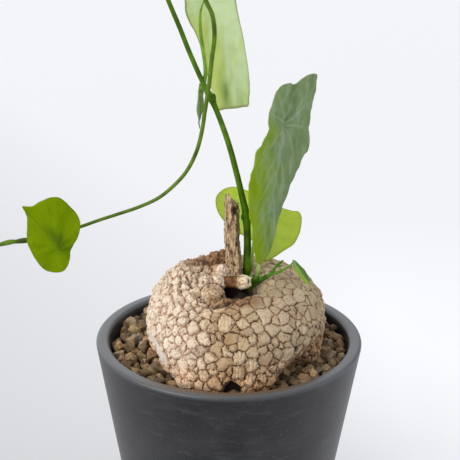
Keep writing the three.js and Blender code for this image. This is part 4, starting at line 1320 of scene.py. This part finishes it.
def veins_of(outline):
    """Lines of the veins in the blade's plane, each with its half width: main ones that spread from the
    attachment, and side veins that leave the middle one in pairs."""
    def vein(start, heading, share, curl):
        rays = outline - start
        off = np.abs((np.arctan2(rays[:, 1], rays[:, 0]) - heading + np.pi) % (2 * np.pi) - np.pi)
        run = np.linspace(0, share * np.linalg.norm(rays[off.argmin()]), 10)
        angle = heading + curl * run / run[-1]
        return start + np.column_stack([np.cos(angle), np.sin(angle)]) * run[:, None]

    far = outline[np.linalg.norm(outline, axis=1).argmax()]
    tip, reach = math.atan2(far[1], far[0]), np.linalg.norm(far)
    lines = [(vein(np.zeros(2), tip + math.radians(turn), 0.93, -0.15 * np.sign(turn)), VEINS["half"])
             for turn in VEINS["main"]]
    for run in np.arange(VEINS["first"], 0.8 * reach, VEINS["apart"]):
        for side in (1, -1):
            start = far * (run + 1.5 * side) / reach
            heading = tip + side * math.radians(VEINS["angle"])
            lines.append((vein(start, heading, 0.85, -0.25 * side), 0.7 * VEINS["half"]))
    return lines


def blade_net():
    """A flat round net of one metre's radius: a ring, drawn in to a middle point ring by ring."""
    only()
    bpy.ops.mesh.primitive_circle_add(vertices=BLADE["spokes"], radius=1, fill_type="NOTHING")
    piece = bpy.context.object
    edit(piece)
    for ring in range(BLADE["rings"], 1, -1):
        share = (ring - 1) / ring
        bpy.ops.mesh.extrude_region_move()
        bpy.ops.transform.resize(value=(share, share, 1), center_override=(0, 0, 0))
    bpy.ops.mesh.edge_face_add()
    bpy.ops.mesh.poke()
    bpy.ops.mesh.select_all(action="SELECT")
    return face_outwards(piece)


def vein_marks(plane, outline, size):
    """How far each point of a blade lies on a vein, and how far in the groove along it."""
    vein, groove = np.zeros(len(plane)), np.zeros(len(plane))
    _, wide = VEINS["groove"]
    for line, half in veins_of(outline):
        away, where = distance_to(plane, line)
        thick = size * half * (1 - 0.5 * where) + 0.12
        vein = np.maximum(vein, np.exp(-(away / thick) ** 2) * (1 - 0.5 * where))
        groove = np.maximum(groove, np.exp(-(away / (wide * size)) ** 2) * (1 - 0.6 * where))
    return vein, groove


def blade_height(leaf, plane, share, spoke, size, groove):
    """How far each point of a blade stands out of its plane: its fold, the waves along its rim, its
    dimple, the grooves of its veins, soft bumps and a crease."""
    u, v = plane.T
    ripple = np.sin(2 * np.pi * leaf.get("waves", 5) * spoke / BLADE["spokes"]) * share ** 2
    height = (leaf["fold"] * (np.hypot(u, 3) - 3) + leaf["wave"] * ripple
              - leaf["dimple"] * np.exp(-(u * u + v * v) / BLADE["dimple_radius"] ** 2)
              - VEINS["groove"][0] * size * groove
              + 0.7 * size * rough(np.column_stack([plane, np.zeros(len(plane))]), 9, 16))
    if "crease" in leaf:
        line, deep, wide = leaf["crease"]
        away, _ = distance_to(plane, np.array(line, float))
        height -= deep * np.exp(-away / wide)
    return height


def blade_directions(leaf):
    """The directions across a blade, along it to the attachment, and out of its plane."""
    along = np.array(leaf["attach"], float) - np.array(leaf["tip"], float)
    along /= np.linalg.norm(along)
    across = np.array(leaf["across"], float)
    across -= along * (across @ along)
    across /= np.linalg.norm(across)
    return across, along, np.cross(across, along)


def blade_marks(leaf, plane, outline, from_rim, vein):
    """What a blade's material reads at each point: its veins, how far it lies across the blade, with its
    upper part pushed on towards the grey painted sheen, its rim and a fold's painted shade."""
    u, v = plane.T
    level = np.abs(v[:, None] - outline[None, :, 1]) < 2
    left_edge = np.where(level, outline[None, :, 0], np.inf).min(1)
    upper = 0.45 * smooth(-0.25, 0.1, v / (v.max() - v.min()))
    shadow = np.zeros(len(plane))
    if "shade" in leaf:
        middle, spread = leaf["shade"]
        shadow = np.exp(-(((plane - middle) / spread) ** 2).sum(1))
    return {
        "vein": leaf.get("veins", 0) * vein,
        "across": (u - left_edge) / (u.max() - u.min()) + upper,
        "rim": leaf.get("rim", 0) * smooth(0.9, 0.2, from_rim),
        "shade": shadow,
    }


def blade_piece(name, leaf):
    """A leaf: its blade, shaped from a round net and given its thickness, and its petiole, which meets
    the blade's underside."""
    spokes = BLADE["spokes"]
    piece = blade_net()
    flat = corners(piece)[:, :2] * MM
    share = np.linalg.norm(flat, axis=1)
    spoke = np.round(np.arctan2(flat[:, 1], flat[:, 0]) / (2 * np.pi) * spokes).astype(int) % spokes
    outline = along_curve([(*point, 0) for point in leaf["outline"]], spokes, closed=True)[:, :2]
    plane = outline[spoke] * share[:, None]
    size = np.sqrt(np.linalg.norm(outline, axis=1).max() / 60)
    vein, groove = vein_marks(plane, outline, size)
    height = blade_height(leaf, plane, share, spoke, size, groove)
    attach = np.array(leaf["attach"], float)
    across, along, facing = blade_directions(leaf)
    u, v = plane.T
    points = attach + np.outer(u, across) + np.outer(v, along) + np.outer(height, facing)
    move_corners(piece, points)
    from_rim = (1 - share) * np.linalg.norm(outline[spoke], axis=1)
    for mark, values in blade_marks(leaf, plane, outline, from_rim, vein).items():
        store(piece, mark, values)
    modify(piece, "SOLIDIFY", thickness=BLADE["thickness"] * MM, offset=0, use_even_offset=False)
    edit(piece)
    face_outwards(piece)
    underside = height[share.argmin()] - BLADE["petiole_end"] * leaf.get("under", 1)
    petiole = {
        "route": leaf["petiole"]["route"] + [tuple(attach + underside * facing)],
        "radii": leaf["petiole"]["radii"] + [BLADE["petiole_tip"]],
    }
    return piece, tube(name + "_stalk", petiole, 60, 12)


def leaf_pieces():
    """Each leaf's blade and petiole in one piece, in the colours of its side and its light."""
    skins = {
        "green": leaf_skin("waxy green leaf", "#8eaa00", "#869b70", "#b4c6ac", "#a4c400", 0.3,
                           mottle=0.35),
        "backlit": leaf_skin("backlit green leaf", "#86a000", "#809a00", "#8a9c20", "#b0cc00", 0.45,
                             fold="#587010"),
        "pale": leaf_skin("pale leaf from below", "#c3d560", "#c0d258", "#d4e2a4", "#d8ee50", 0.5,
                          mottle=0.15),
        "streaked": leaf_skin("pale streaked leaf", "#d2de8c", "#dceaca", "#e8f2dc", "#e6f2c0", 0.5,
                              3, 0.08, 1.6),
        "small": leaf_skin("grey green small leaf", "#93b08c", "#8c9f5c", "#a4bb9c", "#a6c070", 0.3),
        "young": leaf_skin("young folded leaf", "#9aba3a", "#64864c", "#d8e6c8", "#a4cc10", 0.3),
    }
    stalks = {
        "pale": living_stem("pale green petiole", "#7d9440", "#a3b76a"),
        "bright": living_stem("bright green petiole", "#5c861c", "#7fa63a"),
        "green": living_stem("green petiole", "#4d7414", "#6c9030"),
        "olive": living_stem("olive petiole", "#364812", "#4c6018"),
    }
    for name, leaf in LEAVES.items():
        skin, stalk_colour, slot = leaf["dress"]
        blade, stalk = blade_piece(name, leaf)
        blade.data.materials.append(skins[skin])
        stalk.data.materials.append(stalks[stalk_colour])
        piece = join(name + "_blade", [blade, stalk])
        belongs(shade(piece, 60), None, slot, name)


# The studio

def stage_pieces():
    """A plain pale floor that fills the view and emits painted light, which lifts its shadows: more far
    off than near, and more on the near right than on the near left."""
    only()
    bpy.ops.mesh.primitive_plane_add(size=12, location=(0, 3, -0.0005))
    floor = settle(bpy.context.object)
    floor.name = "floor"
    made, tree, place = material("pale studio paper", {
        "Roughness": 0.9, "Base Color": linear(STUDIO["floor"]), "Emission Color": linear(STUDIO["glow"])})
    away = put(tree, "VectorMath", {0: place, 1: (1, 0.6, 0)}, "Value", operation="DOT_PRODUCT")
    far = put(tree, "MapRange", {0: away, 1: -0.15, 2: 0.25, 3: 0.16, 4: 0.4})
    x, y = (put(tree, "SeparateXYZ", {"Vector": place}, axis) for axis in "XY")
    right = put(tree, "MapRange", {0: x, 1: 0, 2: 0.1})
    near = put(tree, "MapRange", {0: y, 1: 0.45, 2: 0.1, 3: 0, 4: 0.17})
    glow = put(tree, "Math", {0: right, 1: near, 2: far}, operation="MULTIPLY_ADD")
    tree.links.new(glow, tree.nodes["Principled BSDF"].inputs["Emission Strength"])
    floor.data.materials.append(made)


def sun(name, towards, strength, spread, colour):
    """Light from far off: the direction it shines in, and how widely it is spread in degrees."""
    bpy.ops.object.light_add(type="SUN", location=(0, 0, 1))
    light = bpy.context.object
    light.name = name
    light.data.energy = strength
    light.data.angle = math.radians(spread)
    light.data.color = linear(colour)[:3]
    light.rotation_mode = "QUATERNION"
    light.rotation_quaternion = Vector(towards).to_track_quat("-Z", "Y")


def lights():
    for light in STUDIO["lights"]:
        sun(*light)
    world = bpy.data.worlds.new("pale room")
    bpy.context.scene.world = world
    world.use_nodes = True
    back = world.node_tree.nodes["Background"]
    back.inputs["Color"].default_value = linear(STUDIO["room"])
    back.inputs["Strength"].default_value = STUDIO["room_light"]
    bpy.context.scene.view_settings.view_transform = "Standard"


def camera():
    rim = Vector((0, 0, POT["height"]))
    elevation, pitch = math.radians(VIEW["elevation"]), math.radians(VIEW["pitch"])
    roll = math.radians(VIEW["roll"])
    place = rim + VIEW["distance"] * Vector((0, -math.cos(elevation), math.sin(elevation)))
    forward = Vector((0, math.cos(pitch), -math.sin(pitch)))
    side = Vector((1, 0, 0))
    up = side.cross(forward)
    side, up = math.cos(roll) * side + math.sin(roll) * up, math.cos(roll) * up - math.sin(roll) * side
    bpy.ops.object.camera_add(location=place * MM)
    seen = bpy.context.object
    seen.data.lens = VIEW["lens"]
    seen.data.sensor_width = 36
    seen.rotation_mode = "QUATERNION"
    seen.rotation_quaternion = Matrix((side, up, -forward)).transposed().to_quaternion()
    bpy.context.scene.camera = seen


camera()
lights()
stage_pieces()
pot_piece()
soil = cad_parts["soil"]
soil.data.materials.clear()
soil.data.materials.append(potting_soil())
gravel_piece()
caudex_piece()
dead_stem_piece()
cut_stub_piece()
green_pieces()
leaf_pieces()
